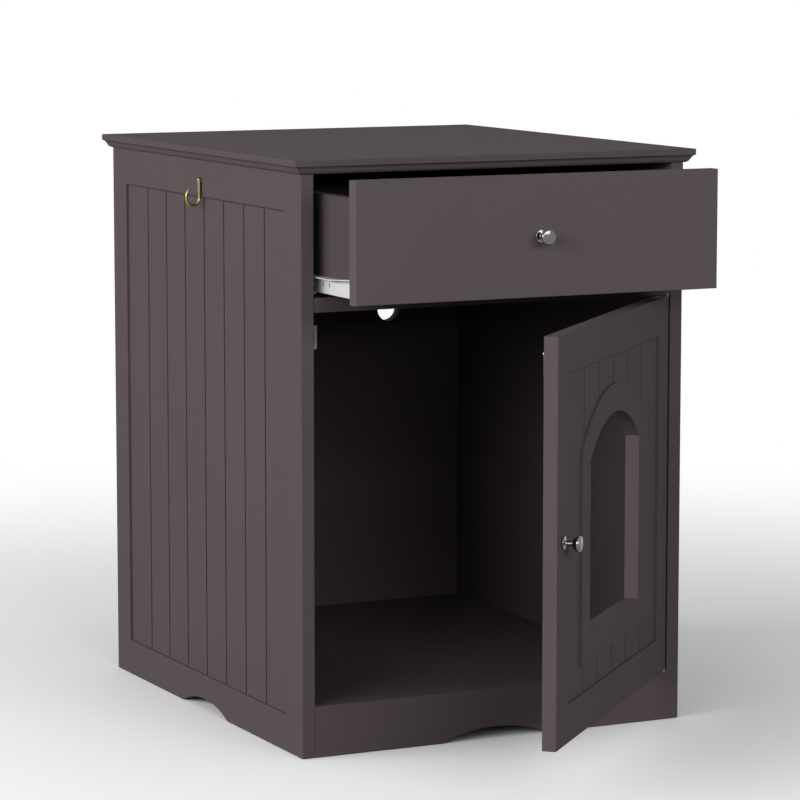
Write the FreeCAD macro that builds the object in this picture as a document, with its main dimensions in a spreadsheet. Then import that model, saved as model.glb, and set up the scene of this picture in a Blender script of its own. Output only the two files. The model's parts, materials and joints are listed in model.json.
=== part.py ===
import FreeCAD, Part
import math
import os
import re
import Sketcher

# Cat litter box cabinet: a painted board carcass on arched skirts, with an inset drawer on
# roller slides at the top and an inset door with an arched cat entrance below it.
#
# Frame, in millimetres: the origin is the middle of the back's bottom edge, on the floor.
# +X is to the right seen from the front, +Y to the rear and +Z up, so the front edges of the
# side panels lie at y = -cabinet_depth. The drawer stands drawer_open out of its closed place
# and the door is turned door_angle out of its own.

SIZES = {
    # carcass
    "cabinet_width": 460,
    "cabinet_depth": 530,
    "cabinet_height": 635,
    "board": 15,
    "top_overhang": 10,
    "ogee_step": 4.25,
    "ogee_radius": 7,
    "edge_round": 1,
    "floor_top": 55,
    "drawer_opening": 130,
    "rail_depth": 60,
    "foot_arch_width": 128,
    "foot_arch_rise": 13,
    "frame_width": 40,
    "panel_recess": 3,
    "groove_pitch": 55,
    "groove_width": 3,
    "groove_depth": 3,
    "side_grooves": 7,
    "vent_radius": 15,
    "vent_spacing": 242,
    "vent_drop": 60,
    # flat-pack fittings and screws
    "cam_radius": 7.5,
    "cam_depth": 12,
    "cam_reach": 24,
    "cam_key_radius": 2.4,
    "cam_key_depth": 2.5,
    "bolt_thread": 9,
    "bolt_thread_radius": 2.5,
    "bolt_bore_radius": 4,
    "bolt_shank_radius": 1.8,
    "bolt_head_radius": 3,
    "bolt_collar": 1.5,
    "dowel_radius": 4,
    "dowel_face_depth": 9,
    "dowel_edge_depth": 20,
    "corner_setback": 60,
    "dowel_spacing": 50,
    "rail_dowel_inset": 16,
    "back_cam_inset": 110,
    "middle_dowel_spacing": 240,
    "bore_extra": 0.5,
    "fit_play": 0.05,
    "screw_radius": 1.5,
    "screw_head_radius": 3,
    "screw_head_depth": 1.5,
    "pan_head_height": 1.6,
    "board_screw_length": 12,
    "slide_screw_length": 9,
    # drawer
    "drawer_open": 100,
    "drawer_gap": 1,
    "drawer_front_board": 15,
    "drawer_board": 12,
    "drawer_box_height": 102.5,
    "drawer_bottom_board": 3,
    "drawer_groove": 5,
    "drawer_bottom_lift": 8,
    "drawer_joint_inset": 25,
    "drawer_screw_length": 31,
    "tray_play": 0.1,
    "slide_length": 400,
    "slide_space": 12.5,
    "slide_sheet": 1,
    "slide_lift": 3.5,
    "slide_ramp_rise": 4,
    "slide_ramp_length": 54,
    "slide_flange": 10.2,
    "slide_track": 10,
    "slide_shortfall": 6,
    "slide_screw_start": 110,
    "slide_screw_pitch": 120,
    "slide_slot_start": 69,
    "slide_slot_pitch": 15.5,
    "slide_slot_width": 3,
    "slide_slot_height": 4.4,
    "slide_recess": 5,
    "roller_radius": 7.5,
    "roller_width": 7,
    "roller_play": 0.2,
    "roller_pin_radius": 2,
    "roller_pin_head": 3.5,
    "roller_pin_head_height": 0.8,
    "roller_gap": 0.5,
    "front_roller_inset": 10,
    "rear_roller_inset": 16,
    # door
    "door_angle": 45,
    "door_side_gap": 1.5,
    "door_end_gap": 1,
    "pivot_inset": 2,
    "door_grooves": 5,
    "entrance_width": 188,
    "entrance_height": 216,
    "entrance_sill": 101,
    "entrance_arch_radius": 134,
    "entrance_band": 30,
    "leaf_thickness": 2,
    "leaf_length": 38,
    "leaf_width": 9,
    "leaf_screw_pitch": 15,
    "leaf_play": 0.1,
    "knuckle_radius": 2.5,
    "hinge_pin_radius": 1.5,
    "washer_gap": 0.1,
    "washer_radius": 2.3,
    "catch_drop": 28,
    "catch_tall": 25,
    "catch_proud": 11,
    "catch_deep": 20,
    "catch_gap": 0.3,
    "catch_screw_spacing": 14,
    "catch_screw_inset": 14,
    "magnet_thickness": 4,
    "magnet_deep": 8,
    "magnet_tall": 16,
    "pole_thickness": 1.4,
    "pole_proud": 1,
    "strike_thickness": 0.6,
    "strike_width": 10,
    "strike_tall": 22,
    "strike_screw_inset": 1.5,
    "strike_screw_head": 1.5,
    "strike_screw_head_height": 1.1,
    "strike_screw_radius": 0.9,
    "strike_screw_length": 8,
    # knobs and hook
    "knob_radius": 8.5,
    "knob_foot_radius": 7.5,
    "knob_foot_thickness": 2,
    "knob_edge": 0.5,
    "knob_neck_radius": 3,
    "knob_neck_length": 10.5,
    "knob_reach": 19.5,
    "knob_rim": 1.5,
    "knob_lip": 2.6,
    "knob_dome": 1.2,
    "knob_screw_radius": 2,
    "knob_screw_head_radius": 4,
    "knob_screw_head_height": 2.4,
    "knob_screw_grip": 8.5,
    "knob_bore_play": 0.2,
    "door_knob_inset": 20,
    "hook_wire_radius": 1.5,
    "hook_stand": 2.3,
    "hook_root_radius": 2.2,
    "hook_setdown": 22,
    "hook_shank": 20,
    "hook_bend_radius": 7.8,
    "hook_rise": 4.5,
    "hook_curl_radius": 5,
    "hook_boss_radius": 2.4,
    "hook_boss_length": 4.3,
    "hook_tap_depth": 3,
}

# Places that follow from the driving sizes. Each is a formula, used by name like a size.
PLACES = {
    "half_width": "cabinet_width / 2",
    "inner_x": "half_width - board",
    "edge_x": "half_width - board / 2",
    "front_y": "-cabinet_depth",
    "mid_y": "-cabinet_depth / 2",
    "side_top": "cabinet_height - board",
    "rail_top": "side_top - drawer_opening",
    "rail_bottom": "rail_top - board",
    "rail_mid": "rail_top - board / 2",
    "floor_mid": "floor_top - board / 2",
    "vent_height": "rail_bottom - vent_drop",
    "hook_height": "side_top - hook_setdown",
    "foot_arch_radius": "(foot_arch_width ^ 2 / 4 + foot_arch_rise ^ 2) / (2 * foot_arch_rise)",
    "cam_x": "inner_x - cam_reach",
    "slide_y": "front_y + drawer_front_board + drawer_gap",
    "channel_low": "rail_top + slide_lift",
    "channel_high": "channel_low + 2 * slide_sheet + 2 * roller_radius + 2 * roller_play",
    "track_low": "channel_high + slide_sheet / 2",
    "slide_high": "track_low + slide_sheet",
    "slide_low": "channel_low + 1.5 * slide_sheet",
    "box_x": "inner_x - slide_space",
    "box_low": "slide_low + slide_sheet",
    "box_high": "box_low + drawer_box_height",
    "box_front": "front_y + drawer_front_board",
    "box_rear": "box_front + slide_length",
    "box_inner": "box_x - drawer_board",
    "tray_low": "box_low + drawer_bottom_lift",
    "tray_half": "box_inner + drawer_groove",
    "tray_length": "slide_length - drawer_board + drawer_groove",
    "runner_end": "slide_y + slide_length - slide_shortfall",
    "slide_mid": "(slide_low + slide_high) / 2",
    "channel_mid": "(channel_low + channel_high) / 2",
    "runner_screw_length": "slide_sheet + drawer_board - drawer_groove - 2 * bore_extra",
    "front_roller_y": "slide_y + front_roller_inset",
    "rear_roller_y": "slide_y + slide_length - rear_roller_inset",
    "front_roller_z": "track_low - roller_play - roller_radius",
    "rear_roller_z": "channel_low + slide_sheet + roller_play + roller_radius",
    "drawer_face_mid": "rail_top + drawer_opening / 2",
    "pivot_x": "inner_x - door_side_gap - pivot_inset",
    "pivot_y": "front_y + pivot_inset",
    "door_width": "2 * inner_x - 2 * door_side_gap",
    "door_low": "floor_top + door_end_gap",
    "door_high": "rail_bottom - door_end_gap",
    "door_left": "pivot_inset - door_width",
    "door_mid": "pivot_inset - door_width / 2",
    "door_back": "board - pivot_inset",
    "door_panel_y": "panel_recess - pivot_inset",
    "door_knob_x": "door_left + door_knob_inset",
    "door_knob_z": "(door_low + door_high) / 2",
    "knob_waist": "knob_radius - knob_rim + sqrt(knob_rim ^ 2 - knob_lip ^ 2 / 4)",
    "knob_dome_radius": "(knob_waist ^ 2 + knob_dome ^ 2) / (2 * knob_dome)",
    "catch_y": "front_y + board + strike_thickness + catch_gap",
    "catch_x": "-inner_x + catch_proud / 2",
    "catch_height": "rail_bottom - catch_drop",
    "entrance_low": "door_low + entrance_sill",
    "entrance_high": "entrance_low + entrance_height",
    "entrance_spring": "entrance_high - entrance_arch_radius"
    " + sqrt(entrance_arch_radius ^ 2 - entrance_width ^ 2 / 4)",
    "band_half": "entrance_width / 2 + entrance_band",
    "band_radius": "entrance_arch_radius + entrance_band",
    "band_high": "entrance_high + entrance_band",
    "band_spring": "band_high - band_radius + sqrt(band_radius ^ 2 - band_half ^ 2)",
}

AXIS_TURNS = {
    "z": (0, 0, 1, 0),
    "-z": (1, 0, 0, 180),
    "x": (0, 1, 0, 90),
    "-x": (0, 1, 0, -90),
    "y": (1, 0, 0, -90),
    "-y": (1, 0, 0, 90),
}

doc = FreeCAD.newDocument("litter_cabinet")
sheet = doc.addObject("Spreadsheet::Sheet", "sizes")
pieces = []
checked_cuts = []


def fill_sheet():
    """Writes each driving size to its own named cell."""
    for row, (name, size) in enumerate(SIZES.items(), start=1):
        sheet.set(f"A{row}", name)
        sheet.set(f"B{row}", str(size))
        sheet.setAlias(f"B{row}", name)
    doc.recompute()


def spelled(formula):
    """Spells a formula out in cells of the sheet."""

    def swap(match):
        word = match.group()
        if word in PLACES:
            return "(" + spelled(PLACES[word]) + ")"
        return "sizes." + word if word in SIZES else word

    return re.sub(r"[a-z_]+", swap, str(formula))


def number(formula):
    """Works a formula out from the sheet."""
    return float(sheet.evalExpression(spelled(formula)))


def bind(thing, **formulas):
    """Binds properties of an object; Base_x stands for Placement.Base.x."""
    for name, formula in formulas.items():
        path = name.replace("Base_", "Placement.Base.")
        thing.setExpression(path, spelled(formula))


def place(thing, x="0", y="0", z="0"):
    bind(thing, Base_x=x, Base_y=y, Base_z=z)


def turn(thing, axis):
    """Turns an object's own +Z to a row axis."""
    x, y, z, angle = AXIS_TURNS[axis]
    thing.Placement = FreeCAD.Placement(
        FreeCAD.Vector(), FreeCAD.Rotation(FreeCAD.Vector(x, y, z), angle)
    )


# ---- primitives and booleans ---------------------------------------------------------------


def block(name, x, y, z, length, width, height):
    """A box from its low corner."""
    box = doc.addObject("Part::Box", name)
    bind(box, Length=length, Width=width, Height=height)
    place(box, x, y, z)
    return box


def rod(name, at, axis, radius, length):
    """A cylinder from the middle of its first end."""
    cylinder = doc.addObject("Part::Cylinder", name)
    turn(cylinder, axis)
    bind(cylinder, Radius=radius, Height=length)
    place(cylinder, *at)
    return cylinder


def cone(name, at, axis, radius_start, radius_end, length):
    tapered = doc.addObject("Part::Cone", name)
    turn(tapered, axis)
    bind(tapered, Radius1=radius_start, Radius2=radius_end, Height=length)
    place(tapered, *at)
    return tapered


def joined(name, parts):
    fused = doc.addObject("Part::MultiFuse", name)
    fused.Shapes = parts
    return fused


def group(name, parts):
    """Separate solids of one kind, kept as one node."""
    compound = doc.addObject("Part::Compound", name)
    compound.Links = parts
    return compound


def cut(name, base, tools):
    result = doc.addObject("Part::Cut", name)
    result.Base = base
    result.Tool = tools[0] if len(tools) == 1 else joined(name + "_tools", tools)
    checked_cuts.append(result)
    return result


# ---- sketches and features -------------------------------------------------------------------


def body(name):
    return doc.addObject("PartDesign::Body", name)


def origin_plane(owner, role):
    return [item for item in owner.Origin.OriginFeatures if item.Role == role][0]


def arc_centre(start, end, radius, way):
    """The centre of a minor arc; way is 1 anticlockwise and -1 clockwise."""
    middle = (start + end) / 2
    chord = end - start
    rise = math.sqrt(max(radius**2 - chord.Length**2 / 4, 0))
    normal = FreeCAD.Vector(-chord.y, chord.x, 0).normalize()
    return middle + normal * rise * way


def add_arc(sketch, start, end, radius, way):
    """Adds an arc and returns it with the numbers of its first and last points."""
    centre = arc_centre(start, end, number(radius), way)
    first, last = (start, end) if way > 0 else (end, start)
    circle = Part.Circle(centre, FreeCAD.Vector(0, 0, 1), number(radius))
    angles = [math.atan2(p.y - centre.y, p.x - centre.x) for p in (first, last)]
    if angles[1] < angles[0]:
        angles[1] += 2 * math.pi
    edge = sketch.addGeometry(Part.ArcOfCircle(circle, *angles))
    named = sketch.addConstraint(Sketcher.Constraint("Radius", edge, number(radius)))
    sketch.setExpression(f"Constraints[{named}]", spelled(radius))
    return (edge, 1, 2) if way > 0 else (edge, 2, 1)


def pin_point(sketch, edge, end, corner):
    """Ties one end of an edge to its x and y formulas."""
    for kind, formula in zip(("DistanceX", "DistanceY"), corner):
        rule = Sketcher.Constraint(kind, -1, 1, edge, end, number(formula))
        named = sketch.addConstraint(rule)
        sketch.setExpression(f"Constraints[{named}]", spelled(formula))


def add_path(sketch, corners, closed=True):
    """Draws corner to corner. A corner is (x, y), or (x, y, radius, way) where an arc leaves it."""
    points = [FreeCAD.Vector(number(c[0]), number(c[1]), 0) for c in corners]
    count = len(corners) if closed else len(corners) - 1
    edges = []
    for index in range(count):
        start, end = points[index], points[(index + 1) % len(points)]
        if len(corners[index]) == 4:
            edges.append(add_arc(sketch, start, end, *corners[index][2:]))
        else:
            edges.append((sketch.addGeometry(Part.LineSegment(start, end)), 1, 2))
    for index in range(count if closed else count - 1):
        edge, follower = edges[index], edges[(index + 1) % count]
        rule = Sketcher.Constraint("Coincident", edge[0], edge[2], follower[0], follower[1])
        sketch.addConstraint(rule)
    for index in range(count):
        pin_point(sketch, edges[index][0], edges[index][1], corners[index])
    if not closed:
        pin_point(sketch, edges[-1][0], edges[-1][2], corners[-1])


def add_circle(sketch, x, y, radius):
    centre = FreeCAD.Vector(number(x), number(y), 0)
    circle = Part.Circle(centre, FreeCAD.Vector(0, 0, 1), number(radius))
    edge = sketch.addGeometry(circle)
    named = sketch.addConstraint(Sketcher.Constraint("Radius", edge, number(radius)))
    sketch.setExpression(f"Constraints[{named}]", spelled(radius))
    pin_point(sketch, edge, 3, (x, y))


def sketch_on(owner, name, role, offset="0", paths=(), circles=(), closed=True):
    """A sketch on an origin plane of its body, moved along the plane's normal."""
    sketch = owner.newObject("Sketcher::SketchObject", name)
    sketch.AttachmentSupport = (origin_plane(owner, role), [""])
    sketch.MapMode = "FlatFace"
    sketch.setExpression("AttachmentOffset.Base.z", spelled(offset))
    for path in paths:
        add_path(sketch, path, closed)
    for circle in circles:
        add_circle(sketch, *circle)
    return sketch


def extrude(owner, kind, sketch, length, reverse=False):
    """A Pad or a Pocket of one sketch."""
    feature = owner.newObject("PartDesign::" + kind, f"{sketch.Name}_{kind.lower()}")
    feature.Profile = sketch
    feature.setExpression("Length", spelled(length))
    feature.Reversed = reverse
    return feature


def repeat(owner, feature, role, count, pitch):
    """A row of copies of one feature along an origin axis of its body."""
    pattern = owner.newObject("PartDesign::LinearPattern", feature.Name + "_row")
    pattern.Originals = [feature]
    pattern.Direction = (origin_plane(owner, role), [""])
    pattern.setExpression("Occurrences", spelled(count))
    pattern.setExpression("Length", spelled(f"({count} - 1) * ({pitch})"))
    owner.Tip = pattern
    return pattern


def rectangle(x_low, y_low, x_high, y_high):
    return [(x_low, y_low), (x_high, y_low), (x_high, y_high), (x_low, y_high)]


def edges_at(owner, plane, size):
    """Names of the straight edges of a body that lie wholly in a plane such as ('z', height)."""
    doc.recompute()
    names = []
    for count, edge in enumerate(owner.Tip.Shape.Edges, start=1):
        ends = [getattr(vertex.Point, plane) for vertex in edge.Vertexes]
        flat = all(abs(end - number(size)) < 0.001 for end in ends)
        if flat and len(ends) == 2 and isinstance(edge.Curve, Part.Line):
            names.append(f"Edge{count}")
    return names


def round_edges(owner, names, radius):
    shaped = owner.Tip
    fillet = owner.newObject("PartDesign::Fillet", owner.Name + "_round")
    fillet.Base = (shaped, names)
    fillet.setExpression("Radius", spelled(radius))
    owner.Tip = fillet
    return fillet


# ---- finished pieces -----------------------------------------------------------------------------


def keep(thing, label, rides="cabinet"):
    """Takes an object as a piece, and sets it where the drawer or the door carries it."""
    thing.Label = label
    pieces.append(thing)
    if rides == "drawer":
        place(thing, y="-drawer_open")
    if rides == "door":
        turn(thing, "z")
        place(thing, "pivot_x", "pivot_y")
        thing.setExpression("Placement.Rotation.Angle", spelled("door_angle"))
    return thing


# ---- carcass fittings: each joint is named by the side and the place of its axis --------------------


def joint_places():
    """Cam and dowel axes as (x, y, z, axis, cam side) at the joint face, one list for each kind."""
    cams, dowels = [], []
    setback = ("front_y + corner_setback", "-corner_setback")
    for sign, toward in ((-1, "x"), (1, "-x")):
        inner = f"{sign} * inner_x"
        edge = f"{sign} * edge_x"
        inward = "x" if sign < 0 else "-x"
        for y in setback:
            step = "+ dowel_spacing" if y.startswith("front") else "- dowel_spacing"
            cams.append((edge, y, "side_top", "-z", inward))
            cams.append((inner, y, "floor_mid", toward, "-z"))
            dowels.append((edge, f"{y} {step}", "side_top", "-z"))
            dowels.append((inner, f"{y} {step}", "floor_mid", toward))
        cams.append((inner, "front_y + rail_depth / 2", "rail_mid", toward, "-z"))
        for y in ("front_y + rail_dowel_inset", "front_y + rail_depth - rail_dowel_inset"):
            dowels.append((inner, y, "rail_mid", toward))
        for height in ("back_cam_inset", "side_top - back_cam_inset"):
            cams.append((inner, "-board / 2", height, toward, "y"))
        for height in ("back_cam_inset + dowel_spacing", "side_top / 2", "side_top - dowel_spacing"):
            dowels.append((inner, "-board / 2", height, toward))
        dowels.append((inner, "front_y + board / 2", "floor_top / 2", toward))
        middle = f"{sign} * middle_dowel_spacing / 2"
        dowels.append((middle, "front_y + board", "floor_mid", "y"))
        dowels.append((middle, "-board", "floor_mid", "-y"))
        dowels.append((middle, "-board / 2", "side_top", "-z"))
    return cams, dowels


def shifted(at, axis, distance):
    """A place moved along a row axis by a formula."""
    moved = list(at)
    index = "xyz".index(axis[-1])
    sign = "-" if axis.startswith("-") else "+"
    moved[index] = f"{at[index]} {sign} ({distance})"
    return tuple(moved)


def opposite(axis):
    return axis[1:] if axis.startswith("-") else "-" + axis


def cam_set(name, at, axis, face):
    """A cam lock, its bolt and their bores. The bolt leaves the joint face along axis, into the
    board that holds the cam, and the cam shows in that board's face side."""
    centre = shifted(at, axis, "cam_reach")
    mouth = shifted(centre, face, "board / 2")
    bores = [
        rod(name + "_thread_bore", at, opposite(axis), "bolt_thread_radius", "bolt_thread + bore_extra"),
        rod(name + "_bolt_bore", at, axis, "bolt_bore_radius", "cam_reach"),
        rod(name + "_cam_bore", mouth, opposite(face), "cam_radius", "cam_depth + bore_extra"),
    ]
    drum = rod(name + "_drum", mouth, opposite(face), "cam_radius - fit_play", "cam_depth")
    hollow = rod(name + "_hollow", shifted(centre, opposite(axis), "cam_radius"), axis,
                 "bolt_head_radius + fit_play", "cam_radius + bolt_head_radius + fit_play")
    key = cone(name + "_key", mouth, opposite(face), "cam_key_radius", "cam_key_radius / 4", "cam_key_depth")
    lock = cut(name + "_lock", drum, [hollow, key])
    bolt = joined(name + "_bolt", [
        rod(name + "_thread", at, opposite(axis), "bolt_thread_radius - fit_play", "bolt_thread"),
        rod(name + "_collar", at, axis, "bolt_bore_radius - fit_play", "bolt_collar"),
        rod(name + "_shank", at, axis, "bolt_shank_radius", "cam_reach"),
        rod(name + "_head", centre, axis, "bolt_head_radius", "bolt_head_radius"),
    ])
    return bores, lock, bolt


def dowel_set(name, at, axis):
    """A dowel that reaches dowel_face_depth into a face and dowel_edge_depth into an edge."""
    start = shifted(at, opposite(axis), "dowel_face_depth")
    length = "dowel_face_depth + dowel_edge_depth"
    bore = rod(name + "_bore", shifted(start, opposite(axis), "bore_extra"), axis,
               "dowel_radius + fit_play", length + " + 2 * bore_extra")
    pin = rod(name + "_pin", start, axis, "dowel_radius", length)
    return bore, pin


def carcass_fittings():
    """Builds the hidden fittings as three nodes and returns the bores that the boards take."""
    cams, dowels = joint_places()
    bores, locks, bolts, pins = [], [], [], []
    for count, (x, y, z, axis, face) in enumerate(cams):
        holes, lock, bolt = cam_set(f"cam{count}", (x, y, z), axis, face)
        bores += holes
        locks.append(lock)
        bolts.append(bolt)
    for count, (x, y, z, axis) in enumerate(dowels):
        bore, pin = dowel_set(f"dowel{count}", (x, y, z), axis)
        bores.append(bore)
        pins.append(pin)
    keep(group("cam_locks_group", locks), "cam_locks")
    keep(group("cam_bolts_group", bolts), "cam_bolts")
    keep(group("dowels_group", pins), "dowels")
    return joined("carcass_bores", bores)


# ---- carcass boards ------------------------------------------------------------------------------------


def foot_outline(low, high, top, centre):
    """The outline of a board that stands on the floor with an arch cut out of its foot."""
    left_foot = f"{centre} - foot_arch_width / 2"
    right_foot = f"{centre} + foot_arch_width / 2"
    return [
        (low, "0"),
        (left_foot, "0", "foot_arch_radius", -1),
        (right_foot, "0"),
        (high, "0"),
        (high, top),
        (low, top),
    ]


def side_panel(side, sign, bores):
    """A side: one board with a sunk field of planks on its outer face, in a frame."""
    panel = body(f"{side}_side")
    inner = f"{sign} * inner_x"
    surface = f"{sign} * (half_width - panel_recess)"
    outline = foot_outline("front_y", "0", "side_top", "mid_y")
    field = rectangle("front_y + frame_width", "frame_width", "-frame_width", "side_top - frame_width")
    plank = sketch_on(panel, f"{side}_plank", "YZ_Plane", inner, [outline])
    extrude(panel, "Pad", plank, "board - panel_recess", sign < 0)
    first = "mid_y - (side_grooves - 1) / 2 * groove_pitch"
    frame_start = f"{surface} - {sign} * groove_depth"
    groove = rectangle(frame_start, f"{first} - groove_width / 2", surface, f"{first} + groove_width / 2")
    slot = sketch_on(panel, f"{side}_slot_line", "XY_Plane", "0", [groove])
    notch = extrude(panel, "Pocket", slot, "side_top", True)
    repeat(panel, notch, "Y_Axis", "side_grooves", "groove_pitch")
    frame = sketch_on(panel, f"{side}_frame", "YZ_Plane", frame_start, [outline, field])
    extrude(panel, "Pad", frame, "panel_recess + groove_depth", sign < 0)
    names = edges_at(panel, "y", "front_y")
    upright = [name for name in names if is_along(panel.Tip.Shape.getElement(name), "z")]
    round_edges(panel, upright, "edge_round")
    tools = [bores]
    if sign < 0:
        at = ("-half_width", "mid_y", "hook_height")
        tools.append(rod("hook_bore", at, "x", "screw_radius + fit_play", "board"))
    return cut(f"{side}_side_cut", panel, tools)


def is_along(edge, axis):
    direction = edge.Curve.Direction
    return abs(getattr(direction, axis)) > 0.999


def ogee(sign, edge, low):
    """The hollow taken off under one edge of the top, as a closed path across that edge. Both
    of its curves step in as far as they step down."""
    away = f"{sign} * ({edge} + 1)"
    lip = f"{sign} * ({edge})"
    waist = f"{sign} * ({edge} - ogee_step)"
    foot = f"{sign} * ({edge} - 2 * ogee_step)"
    return [
        (foot, f"{low} - 1"),
        (away, f"{low} - 1"),
        (away, f"{low} + 2 * ogee_step"),
        (lip, f"{low} + 2 * ogee_step", "ogee_radius", sign),
        (waist, f"{low} + ogee_step", "ogee_radius", -sign),
        (foot, low),
    ]


def top_panel(bores):
    """The top: a board whose four edges are moulded to an ogee below a square lip."""
    top = body("top")
    reach_x = "half_width + top_overhang"
    reach_y = "cabinet_depth / 2 + top_overhang"
    outline = rectangle(f"-({reach_x})", "front_y - top_overhang", reach_x, "top_overhang")
    slab = sketch_on(top, "top_slab", "XY_Plane", "side_top", [outline])
    extrude(top, "Pad", slab, "board")
    across = [ogee(sign, reach_x, "side_top") for sign in (-1, 1)]
    sides = sketch_on(top, "top_sides", "XZ_Plane", "-(top_overhang + 1)", across)
    extrude(top, "Pocket", sides, "cabinet_depth + 2 * top_overhang + 2", True)
    along = [shift_path(ogee(sign, reach_y, "side_top"), "mid_y") for sign in (-1, 1)]
    ends = sketch_on(top, "top_ends", "YZ_Plane", f"-({reach_x} + 1)", along)
    extrude(top, "Pocket", ends, "cabinet_width + 2 * top_overhang + 2", True)
    round_edges(top, edges_at(top, "z", "cabinet_height"), "edge_round")
    return cut("top_cut", top, [bores])


def shift_path(path, distance):
    """The same path moved along its first direction."""
    return [(f"{corner[0]} + {distance}", *corner[1:]) for corner in path]


def toe_board(bores):
    toe = body("toe")
    outline = foot_outline("-inner_x", "inner_x", "floor_top", "0")
    front = sketch_on(toe, "toe_front", "XZ_Plane", "-front_y", [outline])
    extrude(toe, "Pad", front, "board", True)
    tools = [bores] + leaf_seat("toe", "floor_top", "-z") + leaf_screw_bores("toe", "floor_top", "-z")
    return cut("toe_cut", toe, tools)


def back_panel(bores):
    """The back, between the sides, with two round vents."""
    board = block("back_board", "-inner_x", "-board", "0", "2 * inner_x", "board", "side_top")
    vents = [
        rod(f"vent{count}", (f"{sign} * vent_spacing / 2", "0", "vent_height"), "-y", "vent_radius", "board")
        for count, sign in enumerate((-1, 1))
    ]
    return cut("back_cut", board, [bores] + vents)


def floor_panel(bores):
    depth = "cabinet_depth - 2 * board"
    board = block("floor_board", "-inner_x", "front_y + board", "floor_top - board",
                  "2 * inner_x", depth, "board")
    return cut("floor_cut", board, [bores])


def drawer_rail(bores):
    board = block("rail_board", "-inner_x", "front_y", "rail_bottom", "2 * inner_x", "rail_depth", "board")
    tools = [bores] + leaf_seat("rail", "rail_bottom", "z") + leaf_screw_bores("rail", "rail_bottom", "z")
    return cut("rail_cut", board, tools)


def carcass(seats):
    bores = carcass_fittings()
    for side, sign in (("left", -1), ("right", 1)):
        panel = side_panel(side, sign, bores)
        pilots = slide_screw_bores(side, sign, "cabinet")
        if sign < 0:
            pilots += seats
        keep(cut(f"{side}_panel_drilled", panel, pilots), f"{side}_side_panel")
    keep(top_panel(bores), "top_panel")
    keep(back_panel(bores), "back_panel")
    keep(floor_panel(bores), "floor_panel")
    keep(toe_board(bores), "toe_board")
    keep(drawer_rail(bores), "drawer_rail")


# ---- screws ----------------------------------------------------------------------------------------------


def flat_screw(name, at, axis, length, head="screw_head_radius", depth="screw_head_depth"):
    """A countersunk screw whose head is level with its start."""
    return joined(name, [
        cone(name + "_head", at, axis, head, "screw_radius", depth),
        rod(name + "_shank", at, axis, "screw_radius", length),
    ])


def sunk_hole(name, at, axis, length, head="screw_head_radius", depth="screw_head_depth"):
    """The bore and countersink that a flat screw goes into."""
    return [
        cone(name + "_sink", at, axis, f"{head} + 2 * fit_play", "screw_radius + fit_play", depth),
        rod(name + "_bore", at, axis, "screw_radius + fit_play", f"{length} + bore_extra"),
    ]


def pan_screw(name, at, axis, length, head="screw_head_radius", shank="screw_radius",
              head_height="pan_head_height"):
    """A screw whose head stands on the face at its start."""
    crown = shifted(at, opposite(axis), head_height)
    return joined(name, [
        cone(name + "_head", crown, axis, f"{head} * 0.8", head, head_height),
        rod(name + "_shank", at, axis, shank, length),
    ])


# ---- roller slides -----------------------------------------------------------------------------------------

def slide_screw_places(side, sign, member):
    """Screw axes of one slide member, at the face of its sheet."""
    if member == "cabinet":
        x = f"{sign} * (inner_x - slide_sheet)"
        z = "channel_mid"
    else:
        x = f"{sign} * (box_x + slide_sheet)"
        z = "slide_mid"
    return [(x, f"slide_y + slide_screw_start + {count} * slide_screw_pitch", z) for count in range(3)]


def slide_screw_bores(side, sign, member):
    axis = screw_way(sign, member)
    length = screw_reach(member)
    return [
        rod(f"{side}_{member}_pilot{count}", at, axis, "screw_radius + fit_play",
            f"{length} + bore_extra")
        for count, at in enumerate(slide_screw_places(side, sign, member))
    ]


def screw_way(sign, member):
    """Cabinet screws run outward into the side panel and drawer screws inward into the box."""
    outward = sign if member == "cabinet" else -sign
    return "x" if outward > 0 else "-x"


def screw_reach(member):
    """Screws of the drawer's member stop short of the groove for the drawer's bottom."""
    return "slide_screw_length" if member == "cabinet" else "runner_screw_length"


def slide_screws(member, rides):
    screws = [
        pan_screw(f"{side}_{member}_screw{count}", at, screw_way(sign, member), screw_reach(member))
        for side, sign in (("left", -1), ("right", 1))
        for count, at in enumerate(slide_screw_places(side, sign, member))
    ]
    keep(group(f"{member}_slide_screws_group", screws), f"{member}_slide_screws", rides)


def cabinet_slide(side, sign):
    """The member on the side panel: a channel in which the drawer's rear roller runs, with its
    top flange cut back where the front roller stands."""
    wall = f"{sign} * inner_x"
    reach = f"{sign} * (inner_x - slide_flange)"
    low, high = "channel_low", "channel_high"
    inside = f"{sign} * (inner_x - slide_sheet)"
    member = body(f"{side}_channel")
    profile = [
        (wall, low), (reach, low), (reach, f"{low} + slide_sheet"), (inside, f"{low} + slide_sheet"),
        (inside, f"{high} - slide_sheet"), (reach, f"{high} - slide_sheet"), (reach, high), (wall, high),
    ]
    section = sketch_on(member, f"{side}_channel_section", "XZ_Plane", "-slide_y", [profile])
    extrude(member, "Pad", section, "slide_length", True)
    clear = rectangle(inside, "slide_y", reach, "front_roller_y + roller_radius + 4 * roller_gap")
    notch = sketch_on(member, f"{side}_channel_notch", "XY_Plane", high, [clear])
    extrude(member, "Pocket", notch, "slide_sheet")
    bores = slide_holes(side, sign, "cabinet")
    pin_at = (wall, "front_roller_y", "front_roller_z")
    bores.append(rod(f"{side}_front_pin_hole", pin_at, "x" if sign < 0 else "-x",
                     "roller_pin_radius", "slide_sheet"))
    keep(cut(f"{side}_channel_cut", member, bores), f"cabinet_slide_{side}")


def slide_holes(side, sign, member):
    """Clearance holes for the screws through the sheet of a member."""
    axis = screw_way(sign, member)
    return [
        rod(f"{side}_{member}_hole{count}", at, axis, "screw_radius + fit_play", "slide_sheet")
        for count, at in enumerate(slide_screw_places(side, sign, member))
    ]


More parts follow.
